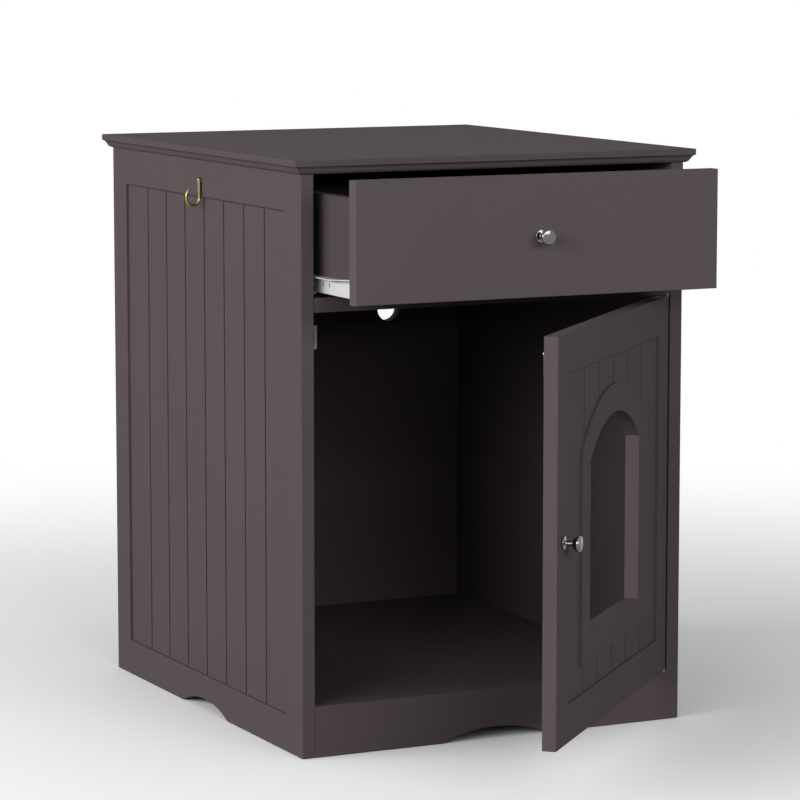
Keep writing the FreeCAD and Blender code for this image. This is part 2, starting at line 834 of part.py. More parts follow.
def slide_slots(name, sign, face, depth):
    """Two upright slots near the front of the drawer's member, outward from face by depth."""
    low_x = f"{sign} * ({face})" if sign > 0 else f"-({face}) - ({depth})"
    return [
        block(f"{name}{count}", low_x, f"slide_y + slide_slot_start + {count} * slide_slot_pitch",
              "slide_mid - slide_slot_height / 4", depth, "slide_slot_width", "slide_slot_height")
        for count in range(2)
    ]


def drawer_slide(side, sign):
    """The member on the drawer: a web against the box side, a lip under it and a track above
    that runs over the front roller and rises at its front end."""
    member = body(f"{side}_runner")
    face = f"{sign} * box_x"
    outer = f"{sign} * (box_x + slide_sheet)"
    ramp = "slide_y + slide_ramp_length"
    web = [
        ("slide_y", "slide_low"), ("runner_end", "slide_low"), ("runner_end", "slide_high"),
        (ramp, "slide_high"), ("slide_y", "slide_high + slide_ramp_rise"),
    ]
    track = [
        ("slide_y", "track_low + slide_ramp_rise"), (ramp, "track_low"), ("runner_end", "track_low"),
        ("runner_end", "slide_high"), (ramp, "slide_high"), ("slide_y", "slide_high + slide_ramp_rise"),
    ]
    web_sketch = sketch_on(member, f"{side}_web", "YZ_Plane", face, [web])
    extrude(member, "Pad", web_sketch, "slide_sheet", sign < 0)
    track_sketch = sketch_on(member, f"{side}_track", "YZ_Plane", face, [track])
    extrude(member, "Pad", track_sketch, "slide_track", sign < 0)
    lip = [("slide_y", "slide_low"), ("runner_end", "slide_low"),
           ("runner_end", "box_low"), ("slide_y", "box_low")]
    lip_sketch = sketch_on(member, f"{side}_lip", "YZ_Plane", outer, [lip])
    extrude(member, "Pad", lip_sketch, "drawer_board", sign > 0)
    bores = slide_holes(side, sign, "drawer")
    bores += slide_slots(f"{side}_slot", sign, "box_x", "slide_sheet")
    pin_at = (face, "rear_roller_y", "rear_roller_z")
    bores.append(rod(f"{side}_rear_pin_hole", pin_at, "-x" if sign < 0 else "x",
                     "roller_pin_radius", "slide_sheet"))
    keep(cut(f"{side}_runner_cut", member, bores), f"drawer_slide_{side}", "drawer")


def roller(name, sign, start, y, z, rides):
    """A wheel with a hub bore, standing off the sheet that carries it."""
    inward = "x" if (sign < 0) == (rides == "cabinet") else "-x"
    wheel = rod(name + "_wheel", (start, y, z), inward, "roller_radius", "roller_width")
    bore = rod(name + "_hub", (start, y, z), inward, "roller_pin_radius + fit_play", "roller_width")
    keep(cut(name + "_cut", wheel, [bore]), name, rides)


def roller_pin(name, sheet_x, y, z, inward):
    """A rivet through the sheet and the wheel, with a head outside the wheel."""
    length = "slide_sheet + roller_width + 2 * roller_gap"
    tip = shifted((sheet_x, y, z), inward, length)
    return joined(name, [
        rod(name + "_stem", (sheet_x, y, z), inward, "roller_pin_radius", length),
        rod(name + "_head", tip, inward, "roller_pin_head", "roller_pin_head_height"),
    ])


def rollers():
    front_pins, rear_pins = [], []
    for side, sign in (("left", -1), ("right", 1)):
        front_start = f"{sign} * (inner_x - slide_sheet - roller_gap)"
        roller(f"front_roller_{side}", sign, front_start, "front_roller_y", "front_roller_z", "cabinet")
        rear_start = f"{sign} * (box_x + slide_sheet + roller_gap)"
        roller(f"rear_roller_{side}", sign, rear_start, "rear_roller_y", "rear_roller_z", "drawer")
        to_middle = "x" if sign < 0 else "-x"
        front_pins.append(roller_pin(f"{side}_front_pin", f"{sign} * inner_x",
                                     "front_roller_y", "front_roller_z", to_middle))
        rear_pins.append(roller_pin(f"{side}_rear_pin", f"{sign} * box_x",
                                    "rear_roller_y", "rear_roller_z", opposite(to_middle)))
    keep(group("front_pins_group", front_pins), "front_roller_pins")
    keep(group("rear_pins_group", rear_pins), "rear_roller_pins", "drawer")


# ---- drawer --------------------------------------------------------------------------------------------------


def drawer_joints():
    """Dowel and screw axes of the drawer box, at their joint faces."""
    dowels, screws = [], []
    for sign in (-1, 1):
        middle = f"{sign} * (box_x - drawer_board / 2)"
        for height in ("box_low + drawer_joint_inset", "box_high - drawer_joint_inset"):
            dowels.append((middle, "box_front", height, "y"))
            screws.append((f"{sign} * box_x", "box_rear - drawer_board / 2", height,
                           "x" if sign < 0 else "-x"))
    return dowels, screws


def drawer_fittings():
    """Dowels from the front into the sides and screws through the sides into the back."""
    dowels, screws = drawer_joints()
    bores, pins, fixings = [], [], []
    for count, (x, y, z, axis) in enumerate(dowels):
        bore, pin = dowel_set(f"drawer_dowel{count}", (x, y, z), axis)
        bores.append(bore)
        pins.append(pin)
    for count, (x, y, z, axis) in enumerate(screws):
        at = (x, y, z)
        bores += sunk_hole(f"box_screw_seat{count}", at, axis, "drawer_screw_length")
        fixings.append(flat_screw(f"box_screw{count}", at, axis, "drawer_screw_length"))
    keep(group("drawer_dowels_group", pins), "drawer_dowels", "drawer")
    keep(group("drawer_screws_group", fixings), "drawer_box_screws", "drawer")
    return joined("drawer_bores", bores)


def drawer_front(bores):
    front = body("front")
    half = "inner_x - drawer_gap"
    outline = rectangle(f"-({half})", "rail_top + drawer_gap", half, "side_top - drawer_gap")
    face = sketch_on(front, "drawer_face", "XZ_Plane", "-front_y", [outline])
    extrude(front, "Pad", face, "drawer_front_board", True)
    round_edges(front, edges_at(front, "y", "front_y"), "edge_round")
    knob_bore = rod("drawer_knob_bore", ("0", "front_y", "drawer_face_mid"), "y",
                    "knob_screw_radius + knob_bore_play", "drawer_front_board")
    keep(cut("drawer_front_cut", front, [bores, knob_bore]), "drawer_front", "drawer")


def drawer_box(bores):
    """Two sides, a back between them and a thin bottom let into grooves of the sides and back."""
    tray = block("tray_space", "-tray_half - tray_play", "box_front", "tray_low - tray_play",
                 "2 * (tray_half + tray_play)", "tray_length + tray_play",
                 "drawer_bottom_board + 2 * tray_play")
    for side, sign in (("left", -1), ("right", 1)):
        low_x = "-box_x" if sign < 0 else "box_inner"
        board = block(f"{side}_box_side", low_x, "box_front", "box_low",
                      "drawer_board", "slide_length", "drawer_box_height")
        pilots = slide_screw_bores(side, sign, "drawer")
        pilots += slide_slots(f"{side}_recess", sign, "box_x - slide_recess", "slide_recess")
        keep(cut(f"{side}_box_side_cut", board, [bores, tray] + pilots), f"drawer_side_{side}", "drawer")
    back = block("box_back", "-box_inner", "box_rear - drawer_board", "box_low",
                 "2 * box_inner", "drawer_board", "drawer_box_height")
    keep(cut("box_back_cut", back, [bores, tray]), "drawer_back", "drawer")
    bottom = body("box_bottom")
    outline = rectangle("-tray_half", "box_front", "tray_half", "box_front + tray_length")
    panel = sketch_on(bottom, "tray_outline", "XY_Plane", "tray_low", [outline])
    extrude(bottom, "Pad", panel, "drawer_bottom_board")
    keep(bottom, "drawer_bottom", "drawer")


def knob(name, x, face, height, rides):
    """A turned knob on a screw: a stepped foot, a slim neck and a low domed head."""
    turned = body(name + "_turned")
    foot = f"{face} - knob_foot_thickness"
    lip = f"{face} - knob_reach + knob_dome"
    blind = f"{face} - knob_screw_grip"
    profile = [
        (face, "knob_screw_radius"),
        (face, "knob_foot_radius - knob_edge"),
        (f"{face} - knob_edge", "knob_foot_radius"),
        (f"{foot} + knob_edge", "knob_foot_radius"),
        (foot, "knob_foot_radius - knob_edge"),
        (foot, "knob_neck_radius + 2 * knob_edge"),
        (f"{foot} - 2 * knob_edge", "knob_neck_radius"),
        (f"{face} - knob_neck_length", "knob_neck_radius"),
        (f"{lip} + knob_lip", "knob_waist", "knob_rim", 1),
        (lip, "knob_waist", "knob_dome_radius", 1),
        (f"{face} - knob_reach", "0"),
        (blind, "0"),
        (blind, "knob_screw_radius"),
    ]
    sketch = sketch_on(turned, name + "_profile", "YZ_Plane", x, [profile])
    sketch.setExpression("AttachmentOffset.Base.y", spelled(height))
    spun = turned.newObject("PartDesign::Revolution", name + "_spun")
    spun.Profile = sketch
    spun.ReferenceAxis = (sketch, ["H_Axis"])
    spun.Angle = 360
    turned.Tip = spun
    keep(turned, name, rides)


def knob_screw(name, x, face, height, thickness, rides):
    """A machine screw from the inner face of the board into the knob's neck."""
    at = (x, f"{face} + {thickness}", height)
    length = f"{thickness} + knob_screw_grip - bore_extra"
    screw = pan_screw(name + "_piece", at, "-y", length, "knob_screw_head_radius",
                      "knob_screw_radius - fit_play", "knob_screw_head_height")
    keep(screw, name, rides)


def drawer():
    bores = drawer_fittings()
    drawer_front(bores)
    drawer_box(bores)
    knob("drawer_knob", "0", "front_y", "drawer_face_mid", "drawer")
    knob_screw("drawer_knob_screw", "0", "front_y", "drawer_face_mid", "drawer_front_board", "drawer")
    for side, sign in (("left", -1), ("right", 1)):
        cabinet_slide(side, sign)
        drawer_slide(side, sign)
    slide_screws("cabinet", "cabinet")
    slide_screws("drawer", "drawer")
    rollers()


# ---- door hinges: pivot leaves let into the door's ends, the rail and the toe board -----------------------------


def leaf(name, at, axis, play="0"):
    """A hinge leaf: a round knuckle on the pivot and a tail along the board. It is sunk along
    axis from its place, and play widens it to the seat that is cut for it."""
    x, y, z = at
    tail_z = z if axis == "z" else f"{z} - leaf_thickness - {play}"
    return [
        rod(name + "_knuckle", at, axis, f"knuckle_radius + {play}", f"leaf_thickness + {play}"),
        block(name + "_tail", f"{x} - leaf_length - {play}", f"{y} - {play}", tail_z,
              f"leaf_length + {play}", f"leaf_width + 2 * {play}", f"leaf_thickness + {play}"),
    ]


def leaf_seat(name, height, axis):
    """The seat of a leaf in the cabinet, on the pivot line."""
    return leaf(name + "_seat", ("pivot_x", "pivot_y", height), axis, "leaf_play")


def leaf_screw_places(x, y, z):
    return [(f"{x} - {count} * leaf_screw_pitch", f"{y} + leaf_width / 2", z) for count in (1, 2)]


def leaf_screw_bores(name, height, axis):
    places = leaf_screw_places("pivot_x", "pivot_y", height)
    return [
        rod(f"{name}_leaf_bore{count}", at, axis, "screw_radius + fit_play",
            "board_screw_length + bore_extra")
        for count, at in enumerate(places)
    ]


def hinge_leaf(name, at, axis, pin_bore, rides):
    """A leaf drilled for the pin and countersunk for two screws, and the screws themselves."""
    tools = [rod(name + "_pin_bore", at, axis, pin_bore, "leaf_thickness")]
    screws = []
    for count, seat in enumerate(leaf_screw_places(*at)):
        tools += sunk_hole(f"{name}_seat{count}", seat, axis, "board_screw_length")
        screws.append(flat_screw(f"{name}_screw{count}", seat, axis, "board_screw_length"))
    solid = joined(name + "_solid", leaf(name, at, axis))
    keep(cut(name + "_cut", solid, tools), name, rides)
    return screws


def hinges():
    """Two pivot hinges. Each pin is fixed in the cabinet's leaf, passes a thin washer and turns
    in the door's leaf."""
    cabinet_screws, door_screws, washers = [], [], []
    ends = (("top", "rail_bottom", "z", "door_high", "-z"), ("bottom", "floor_top", "-z", "door_low", "z"))
    for end, seat, outward, door_end, inward in ends:
        at = ("pivot_x", "pivot_y", seat)
        cabinet_screws += hinge_leaf(f"hinge_{end}_cabinet_leaf", at, outward, "hinge_pin_radius", "cabinet")
        door_screws += hinge_leaf(f"hinge_{end}_door_leaf", ("0", "0", door_end), inward,
                                  "hinge_pin_radius + fit_play", "door")
        pin_start = shifted(at, outward, "leaf_thickness")
        pin_length = "2 * leaf_thickness + door_end_gap"
        pin = rod(f"{end}_hinge_pin", pin_start, inward, "hinge_pin_radius", pin_length)
        keep(pin, f"hinge_{end}_pin")
        ring = rod(f"{end}_ring", at, inward, "washer_radius", "door_end_gap - washer_gap")
        hole = rod(f"{end}_ring_hole", at, inward, "hinge_pin_radius + fit_play", "door_end_gap")
        washers.append(cut(f"{end}_washer", ring, [hole]))
    keep(group("hinge_washers_group", washers), "hinge_washers")
    keep(group("hinge_cabinet_screws_group", cabinet_screws), "hinge_cabinet_screws")
    keep(group("hinge_door_screws_group", door_screws), "hinge_door_screws", "door")


# ---- door --------------------------------------------------------------------------------------------------------
# Pieces of the door are drawn closed, about the pivot line: x = 0 and y = 0 lie on it.


def arched(half, low, spring, radius):
    """A window outline: square below and a low arch above."""
    left, right = f"door_mid - {half}", f"door_mid + {half}"
    return [(left, low), (right, low), (right, spring, radius, 1), (left, spring)]


def door_board():
    """The door: planks sunk in a frame, with a raised band round the arched entrance."""
    door = body("door")
    outline = rectangle("door_left", "door_low", "pivot_inset", "door_high")
    field = rectangle("door_left + frame_width", "door_low + frame_width",
                      "pivot_inset - frame_width", "door_high - frame_width")
    planks = sketch_on(door, "door_planks", "XZ_Plane", "-door_back", [outline])
    extrude(door, "Pad", planks, "board - panel_recess")
    first = "door_mid - (door_grooves - 1) / 2 * groove_pitch"
    groove = rectangle(f"{first} - groove_width / 2", "door_panel_y",
                       f"{first} + groove_width / 2", "door_panel_y + groove_depth")
    slot = sketch_on(door, "door_slot_line", "XY_Plane", "door_low", [groove])
    notch = extrude(door, "Pocket", slot, "door_high - door_low", True)
    repeat(door, notch, "X_Axis", "door_grooves", "groove_pitch")
    start = "-(door_panel_y + groove_depth)"
    frame = sketch_on(door, "door_frame", "XZ_Plane", start, [outline, field])
    extrude(door, "Pad", frame, "panel_recess + groove_depth")
    low_band = "entrance_low - entrance_band"
    band_path = arched("band_half", low_band, "band_spring", "band_radius")
    band = sketch_on(door, "door_band", "XZ_Plane", start, [band_path])
    extrude(door, "Pad", band, "panel_recess + groove_depth")
    window = arched("entrance_width / 2", "entrance_low", "entrance_spring", "entrance_arch_radius")
    entrance = sketch_on(door, "door_entrance", "XZ_Plane", "pivot_inset", [window])
    extrude(door, "Pocket", entrance, "board")
    round_edges(door, outer_edges(door), "edge_round")
    return door


def outer_edges(door):
    """The edges round the door's front face."""
    names = edges_at(door, "y", "-pivot_inset")
    shape = door.Tip.Shape
    limits = (number("door_left"), number("pivot_inset"), number("door_low"), number("door_high"))
    kept = []
    for name in names:
        middle = shape.getElement(name).CenterOfMass
        gaps = (middle.x - limits[0], middle.x - limits[1], middle.z - limits[2], middle.z - limits[3])
        if min(abs(gap) for gap in gaps) < 0.001:
            kept.append(name)
    return kept


def door_panel():
    tools = leaf("door_seat_top", ("0", "0", "door_high"), "-z", "leaf_play")
    tools += leaf("door_seat_low", ("0", "0", "door_low"), "z", "leaf_play")
    for end, axis in (("door_high", "-z"), ("door_low", "z")):
        for count, at in enumerate(leaf_screw_places("0", "0", end)):
            tools.append(rod(f"{end}_pilot{count}", at, axis, "screw_radius + fit_play",
                             "board_screw_length + bore_extra"))
    tools.append(rod("door_knob_bore", ("door_knob_x", "-pivot_inset", "door_knob_z"), "y",
                     "knob_screw_radius + knob_bore_play", "board"))
    tools.append(strike_bore("strike_pilot"))
    keep(cut("door_cut", door_board(), tools), "door_panel", "door")
    knob("door_knob", "door_knob_x", "-pivot_inset", "door_knob_z", "door")
    knob_screw("door_knob_screw", "door_knob_x", "-pivot_inset", "door_knob_z", "board", "door")


# ---- magnetic catch --------------------------------------------------------------------------------------------------


def strike_middle():
    """The strike plate's middle on the door's back, opposite the catch."""
    return ("catch_x + pivot_inset - pivot_x", "door_back", "catch_height")


def catch_screw_places():
    y = "catch_y + catch_screw_inset"
    return [
        ("-inner_x + catch_proud", y, f"catch_height + {sign} * catch_screw_spacing / 2")
        for sign in (-1, 1)
    ]


def catch_screw_seats():
    seats = []
    for count, at in enumerate(catch_screw_places()):
        seats += sunk_hole(f"catch_seat{count}", at, "-x", "catch_proud + slide_screw_length")
    return seats


def catch(seats):
    """A housing on the left side panel with a magnet between two steel poles, and its screws."""
    deep = "magnet_deep + 2 * pole_proud"
    half = "(magnet_thickness / 2 + pole_thickness + 2 * fit_play)"
    low = "catch_height - magnet_tall / 2"
    shell = block("catch_shell", "-inner_x", "catch_y + pole_proud", "catch_height - catch_tall / 2",
                  "catch_proud", "catch_deep", "catch_tall")
    pocket = block("catch_pocket", f"catch_x - {half}", "catch_y", f"{low} - fit_play",
                   f"2 * {half}", deep, "magnet_tall + 2 * fit_play")
    keep(cut("catch_cut", shell, [pocket] + seats), "catch_housing")
    magnet = block("magnet", "catch_x - magnet_thickness / 2", "catch_y + 2 * pole_proud", low,
                   "magnet_thickness", "magnet_deep", "magnet_tall")
    keep(magnet, "catch_magnet")
    starts = ("-magnet_thickness / 2 - pole_thickness - fit_play", "magnet_thickness / 2 + fit_play")
    poles = [
        block(f"pole{count}", f"catch_x + ({start})", "catch_y", low, "pole_thickness", deep, "magnet_tall")
        for count, start in enumerate(starts)
    ]
    keep(group("poles_group", poles), "catch_poles")
    screws = [
        flat_screw(f"catch_screw{count}", at, "-x", "catch_proud + slide_screw_length")
        for count, at in enumerate(catch_screw_places())
    ]
    keep(group("catch_screws_group", screws), "catch_screws")


def strike_screw_at():
    """The strike's one screw stands near its outer upper corner, above the catch's poles."""
    x, y, z = strike_middle()
    along = f"{x} - strike_width / 2 + strike_screw_inset"
    return (along, f"{y} + strike_thickness", f"{z} + strike_tall / 2 - strike_screw_inset")


def strike_bore(name):
    return rod(name, strike_screw_at(), "-y", "strike_screw_radius + fit_play",
               "strike_thickness + strike_screw_length")


def strike():
    x, y, z = strike_middle()
    plate = block("strike_sheet", f"{x} - strike_width / 2", y, f"{z} - strike_tall / 2",
                  "strike_width", "strike_thickness", "strike_tall")
    keep(cut("strike_cut", plate, [strike_bore("strike_hole")]), "strike_plate", "door")
    screw = pan_screw("strike_fixing", strike_screw_at(), "-y", "strike_screw_length",
                      "strike_screw_head", "strike_screw_radius", "strike_screw_head_height")
    keep(screw, "strike_screw", "door")


# ---- hook ----------------------------------------------------------------------------------------------------------------


def hook():
    """A bent wire hook on the left side: a tapered shank, a half-round bend and a curled tip."""
    wire = body("hook_wire")
    shank = "-half_width - hook_stand"
    low = "hook_height - hook_shank"
    middle = f"{shank} - hook_bend_radius"
    outer = f"{shank} - 2 * hook_bend_radius"
    path = [
        (shank, "hook_height"),
        (shank, low, "hook_bend_radius", -1),
        (middle, f"{low} - hook_bend_radius", "hook_bend_radius", -1),
        (outer, low),
        (outer, f"{low} + hook_rise", "hook_curl_radius", -1),
        (f"{outer} + hook_curl_radius", f"{low} + hook_rise + hook_curl_radius"),
    ]
    spine = sketch_on(wire, "hook_spine", "XZ_Plane", "-mid_y", [path], closed=False)
    ring = sketch_on(wire, "hook_ring", "XY_Plane", "hook_height",
                     circles=[(shank, "mid_y", "hook_wire_radius")])
    pipe = wire.newObject("PartDesign::AdditivePipe", "hook_pipe")
    pipe.Profile = ring
    pipe.Spine = spine
    wire.Tip = pipe
    seat = ("-half_width", "mid_y", "hook_height")
    boss = rod("hook_boss", seat, "-x", "hook_boss_radius", "hook_boss_length")
    taper = cone("hook_taper", (shank, "mid_y", "hook_height"), "-z", "hook_root_radius",
                 "hook_wire_radius", "hook_shank")
    bore = rod("hook_tap", seat, "-x", "screw_radius + fit_play", "hook_tap_depth")
    solid = joined("hook_solid", [wire, boss, taper])
    keep(cut("hook_cut", solid, [bore]), "hook")
    at = ("-inner_x", "mid_y", "hook_height")
    keep(pan_screw("hook_fixing", at, "-x", "board + hook_tap_depth - fit_play"), "hook_screw")


# ---- build, check and write ---------------------------------------------------------------------------------------------------


def check():
    """Stops if anything failed, is empty, or was cut by a tool that missed it."""
    doc.recompute()
    for thing in doc.Objects:
        if "Invalid" in thing.State or "Error" in thing.State:
            raise RuntimeError(f"{thing.Name} did not build: {thing.State}")
        if thing.isDerivedFrom("PartDesign::Pocket"):
            before, after = thing.BaseFeature.Shape.Volume, thing.Shape.Volume
            if after > before - 0.01:
                raise RuntimeError(f"{thing.Name} takes nothing away")
    for thing in checked_cuts:
        if thing.Shape.Volume > thing.Base.Shape.Volume - 0.001:
            raise RuntimeError(f"{thing.Name} takes nothing away")
    for piece in pieces:
        if piece.Shape.isNull() or not piece.Shape.isValid() or not piece.Shape.Solids:
            raise RuntimeError(f"{piece.Label} is not a sound solid")


def write():
    os.makedirs("parts", exist_ok=True)
    for piece in pieces:
        piece.Shape.exportStep(f"parts/{piece.Label}.step")
        solids = piece.Shape.Solids
        print(f"{piece.Label}: {len(solids)} solids, {sum(s.Volume for s in solids) / 1000:.2f} cm3")
    print(len(pieces), "nodes")


fill_sheet()
seats_of_catch = catch_screw_seats()
carcass(seats_of_catch)
drawer()
door_panel()
hinges()
catch(seats_of_catch)
strike()
hook()
check()
write()
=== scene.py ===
# %% [markdown]
# # A cat litter box cabinet
#
# This lesson dresses a finished cabinet for its photograph. The boards, slides, hinges and knobs
# come from a CAD model, already in their places and in metres, with the floor at z = 0. We give
# every surface its real finish, turn or bend the few small metal parts that need a finer shape
# than the CAD gives, and set up a pale studio.
#
# The first cell loads the CAD model as a frame, and we note its outer box at once.

import json
import math

import bmesh
import bpy
from mathutils import Matrix, Vector


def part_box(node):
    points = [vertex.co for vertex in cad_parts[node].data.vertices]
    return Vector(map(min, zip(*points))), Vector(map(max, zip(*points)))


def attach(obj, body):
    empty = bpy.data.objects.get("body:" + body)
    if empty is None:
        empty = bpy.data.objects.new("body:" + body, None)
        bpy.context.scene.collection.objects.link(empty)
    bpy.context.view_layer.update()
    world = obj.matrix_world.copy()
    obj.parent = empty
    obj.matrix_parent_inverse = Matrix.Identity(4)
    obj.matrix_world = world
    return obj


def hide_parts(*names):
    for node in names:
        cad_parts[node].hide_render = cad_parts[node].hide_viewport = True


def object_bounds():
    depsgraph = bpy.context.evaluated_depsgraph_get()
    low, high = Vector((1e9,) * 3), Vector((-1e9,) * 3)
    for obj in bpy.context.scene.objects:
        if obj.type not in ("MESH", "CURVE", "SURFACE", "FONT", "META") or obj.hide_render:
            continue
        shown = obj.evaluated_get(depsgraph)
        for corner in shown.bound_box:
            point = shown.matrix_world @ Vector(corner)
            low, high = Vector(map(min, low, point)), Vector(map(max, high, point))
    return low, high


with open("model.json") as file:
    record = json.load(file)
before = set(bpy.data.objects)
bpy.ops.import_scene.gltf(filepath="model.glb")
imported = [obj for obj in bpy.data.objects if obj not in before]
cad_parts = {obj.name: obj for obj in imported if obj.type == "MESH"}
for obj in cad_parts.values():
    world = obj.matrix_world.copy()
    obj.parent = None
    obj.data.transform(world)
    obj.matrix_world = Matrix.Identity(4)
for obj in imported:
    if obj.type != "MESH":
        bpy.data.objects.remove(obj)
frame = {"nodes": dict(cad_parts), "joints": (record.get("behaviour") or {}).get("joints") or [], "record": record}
nodes = frame["nodes"]
cad_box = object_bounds()

# %% [markdown]
# ## Colours as a maker names them
#
# Paint charts and photographs give colours in sRGB, but Blender's shaders want linear light. A
# small helper turns one into the other, so that each colour can be written once, the way it
# looks on a screen.

# %% Colours


def linear(red, green, blue):
    """A colour as it looks on a screen, 0 to 255, as Blender's linear colour."""
    shares = [channel / 255 for channel in (red, green, blue)]
    light = [c / 12.92 if c <= 0.04045 else ((c + 0.055) / 1.055) ** 2.4 for c in shares]
    return (*light, 1.0)


TAUPE = linear(88, 78, 79)
# the case's taupe made lighter: painted light on the drawer front
TAUPE_PAINTED_LIT = linear(94, 84, 85)
DRAWER_FOIL = linear(78, 69, 70)
ENAMEL = linear(214, 215, 214)
NICKEL = linear(112, 111, 110)
BRASS = linear(146, 134, 86)
ZINC = linear(196, 198, 202)
LACQUERED_STEEL = linear(118, 107, 106)
NYLON = linear(214, 212, 204)
BEECH = linear(201, 168, 124)
BROWN_PLASTIC = linear(118, 107, 107)
FERRITE = linear(85, 85, 87)
print("taupe paint in linear light:", [round(c, 4) for c in TAUPE[:3]])

# %% [markdown]
# ## A finish is built from nodes
#
# No real surface has one even colour or one even gloss. Each finish below starts from the same
# three lines: a material, its shader, and a texture coordinate in the piece's own metres, so
# that a pattern stays fixed to the piece when the drawer slides. The helpers that follow add a
# noise of a given grain size, map a noise to a range of numbers, and turn a noise into a bump of
# a given height. Nearly all of a noise lies between the two numbers named first.

# %% Helpers for finishes
MM = 0.001
NOISE_LOW = 0.3
NOISE_HIGH = 0.7


def start_finish(name, colour, roughness, metallic=0.0):
    """A new material with its shader's plain values set, and its node tree."""
    finish = bpy.data.materials.new(name)
    finish.use_nodes = True
    finish.diffuse_color = colour
    shader = finish.node_tree.nodes["Principled BSDF"]
    shader.inputs["Base Color"].default_value = colour
    shader.inputs["Roughness"].default_value = roughness
    shader.inputs["Metallic"].default_value = metallic
    return finish, finish.node_tree, shader


def grain(tree, size, detail=3.0, stretch=(1, 1, 1)):
    """A noise whose grains are about size metres across, longer where stretch is under 1."""
    place = tree.nodes.new("ShaderNodeTexCoord")
    scaled = tree.nodes.new("ShaderNodeMapping")
    scaled.inputs["Scale"].default_value = stretch
    noise = tree.nodes.new("ShaderNodeTexNoise")
    noise.inputs["Scale"].default_value = 1 / size
    noise.inputs["Detail"].default_value = detail
    tree.links.new(place.outputs["Object"], scaled.inputs["Vector"])
    tree.links.new(scaled.outputs["Vector"], noise.inputs["Vector"])
    return noise.outputs["Fac"]


def spread(tree, fac, low, high, start=NOISE_LOW, end=NOISE_HIGH, soft=False):
    """Maps a noise or any other number to a range of numbers, with eased ends where it is soft."""
    ramp = tree.nodes.new("ShaderNodeMapRange")
    if soft:
        ramp.interpolation_type = "SMOOTHSTEP"
    ends = {"From Min": start, "From Max": end, "To Min": low, "To Max": high}
    for name, number in ends.items():
        ramp.inputs[name].default_value = number
    tree.links.new(fac, ramp.inputs["Value"])
    return ramp.outputs["Result"]


def tint(tree, fac, first, second):
    """A colour between two, chosen by a noise."""
    mix = tree.nodes.new("ShaderNodeMix")
    mix.data_type = "RGBA"
    mix.inputs[6].default_value = first
    mix.inputs[7].default_value = second
    tree.links.new(fac, mix.inputs[0])
    return mix.outputs[2]


def bump(tree, fac, height, strength):
    """A bump of a height in metres."""
    relief = tree.nodes.new("ShaderNodeBump")
    relief.inputs["Strength"].default_value = strength
    relief.inputs["Distance"].default_value = height
    tree.links.new(fac, relief.inputs["Height"])
    return relief.outputs["Normal"]


def darker(colour, share):
    """The same colour with its light scaled by share."""
    return (*[channel * share for channel in colour[:3]], 1.0)


# %% [markdown]
# ## Satin paint on board
#
# The case is sprayed fibreboard. Close up, sprayed satin paint shows a faint orange peel, one or
# two millimetres wide. Over a whole door it is never quite one shade, because the film is a
# little thicker in some places. So three noises make it: a fine one for the bump, a broad one
# for the shade and a middling one for the gloss. The door has the same paint as the case. The
# drawer front has that paint too, made a little lighter as painted light for the extra light
# that falls on it, and the drawer's box has a darker matt foil.

# %% Satin paint
PAINT_ROUGHNESS = 0.8
PAINT_SHEEN = 0.08
CLOUD_SIZE = 220 * MM
CLOUD_DEPTH = 0.015
HAZE_SIZE = 45 * MM
HAZE_GLOSSIER = 0.015
HAZE_DULLER = 0.02
PEEL_SIZE = 1.6 * MM
PEEL_HEIGHT = 0.04 * MM
PEEL_STRENGTH = 0.35


def satin_paint(name, colour):
    """Sprayed paint: a little cloudy, with an orange peel one or two millimetres wide."""
    finish, tree, shader = start_finish(name, colour, PAINT_ROUGHNESS)
    cloud = spread(tree, grain(tree, CLOUD_SIZE, detail=2.0), 0, 1)
    shade = tint(tree, cloud, darker(colour, 1 - CLOUD_DEPTH), darker(colour, 1 + CLOUD_DEPTH))
    tree.links.new(shade, shader.inputs["Base Color"])
    haze = grain(tree, HAZE_SIZE, detail=4.0)
    gloss = spread(tree, haze, PAINT_ROUGHNESS - HAZE_GLOSSIER, PAINT_ROUGHNESS + HAZE_DULLER)
    tree.links.new(gloss, shader.inputs["Roughness"])
    peel = bump(tree, grain(tree, PEEL_SIZE, detail=2.0), PEEL_HEIGHT, PEEL_STRENGTH)
    tree.links.new(peel, shader.inputs["Normal"])
    shader.inputs["Specular IOR Level"].default_value = PAINT_SHEEN
    return finish


case_paint = satin_paint("satin paint of the case", TAUPE)
# The drawer front takes the case's colour made lighter, as painted light.
front_paint = satin_paint("satin paint of the drawer front", TAUPE_PAINTED_LIT)
door_paint = satin_paint("satin paint of the door", TAUPE)
foil_paint = satin_paint("matt foil of the drawer box", DRAWER_FOIL)
print("paints:", [paint.name for paint in (case_paint, front_paint, door_paint, foil_paint)])

# %% [markdown]
# ## Metals and plastics
#
# The slides are sheet steel with a white powder coat, which is finely pebbled. The knobs are
# bright nickel, nearly a mirror with a trace of polishing haze. The hook is lacquered brass, and
# everything that is meant to be hidden, such as screws, cams and hinge leaves, is zinc plated:
# dull, with a faint spangle. The rollers are nylon, and dowels are bare beech. The catch's pole
# plates and its strike are steel under a bronze lacquer, near the colour of the catch itself, and
# the magnet between them is sintered ferrite, a dull and slightly gritty grey.

# %% Powder coat, nickel, brass and zinc


def powder_coat():
    """White powder coat: finely pebbled, and a little smudged."""
    finish, tree, shader = start_finish("white powder coat", ENAMEL, roughness=0.38)
    pebbles = bump(tree, grain(tree, 0.7 * MM, detail=1.0), height=0.03 * MM, strength=0.5)
    tree.links.new(pebbles, shader.inputs["Normal"])
    smudge = grain(tree, 20 * MM)
    tree.links.new(tint(tree, smudge, darker(ENAMEL, 0.94), ENAMEL), shader.inputs["Base Color"])
    return finish


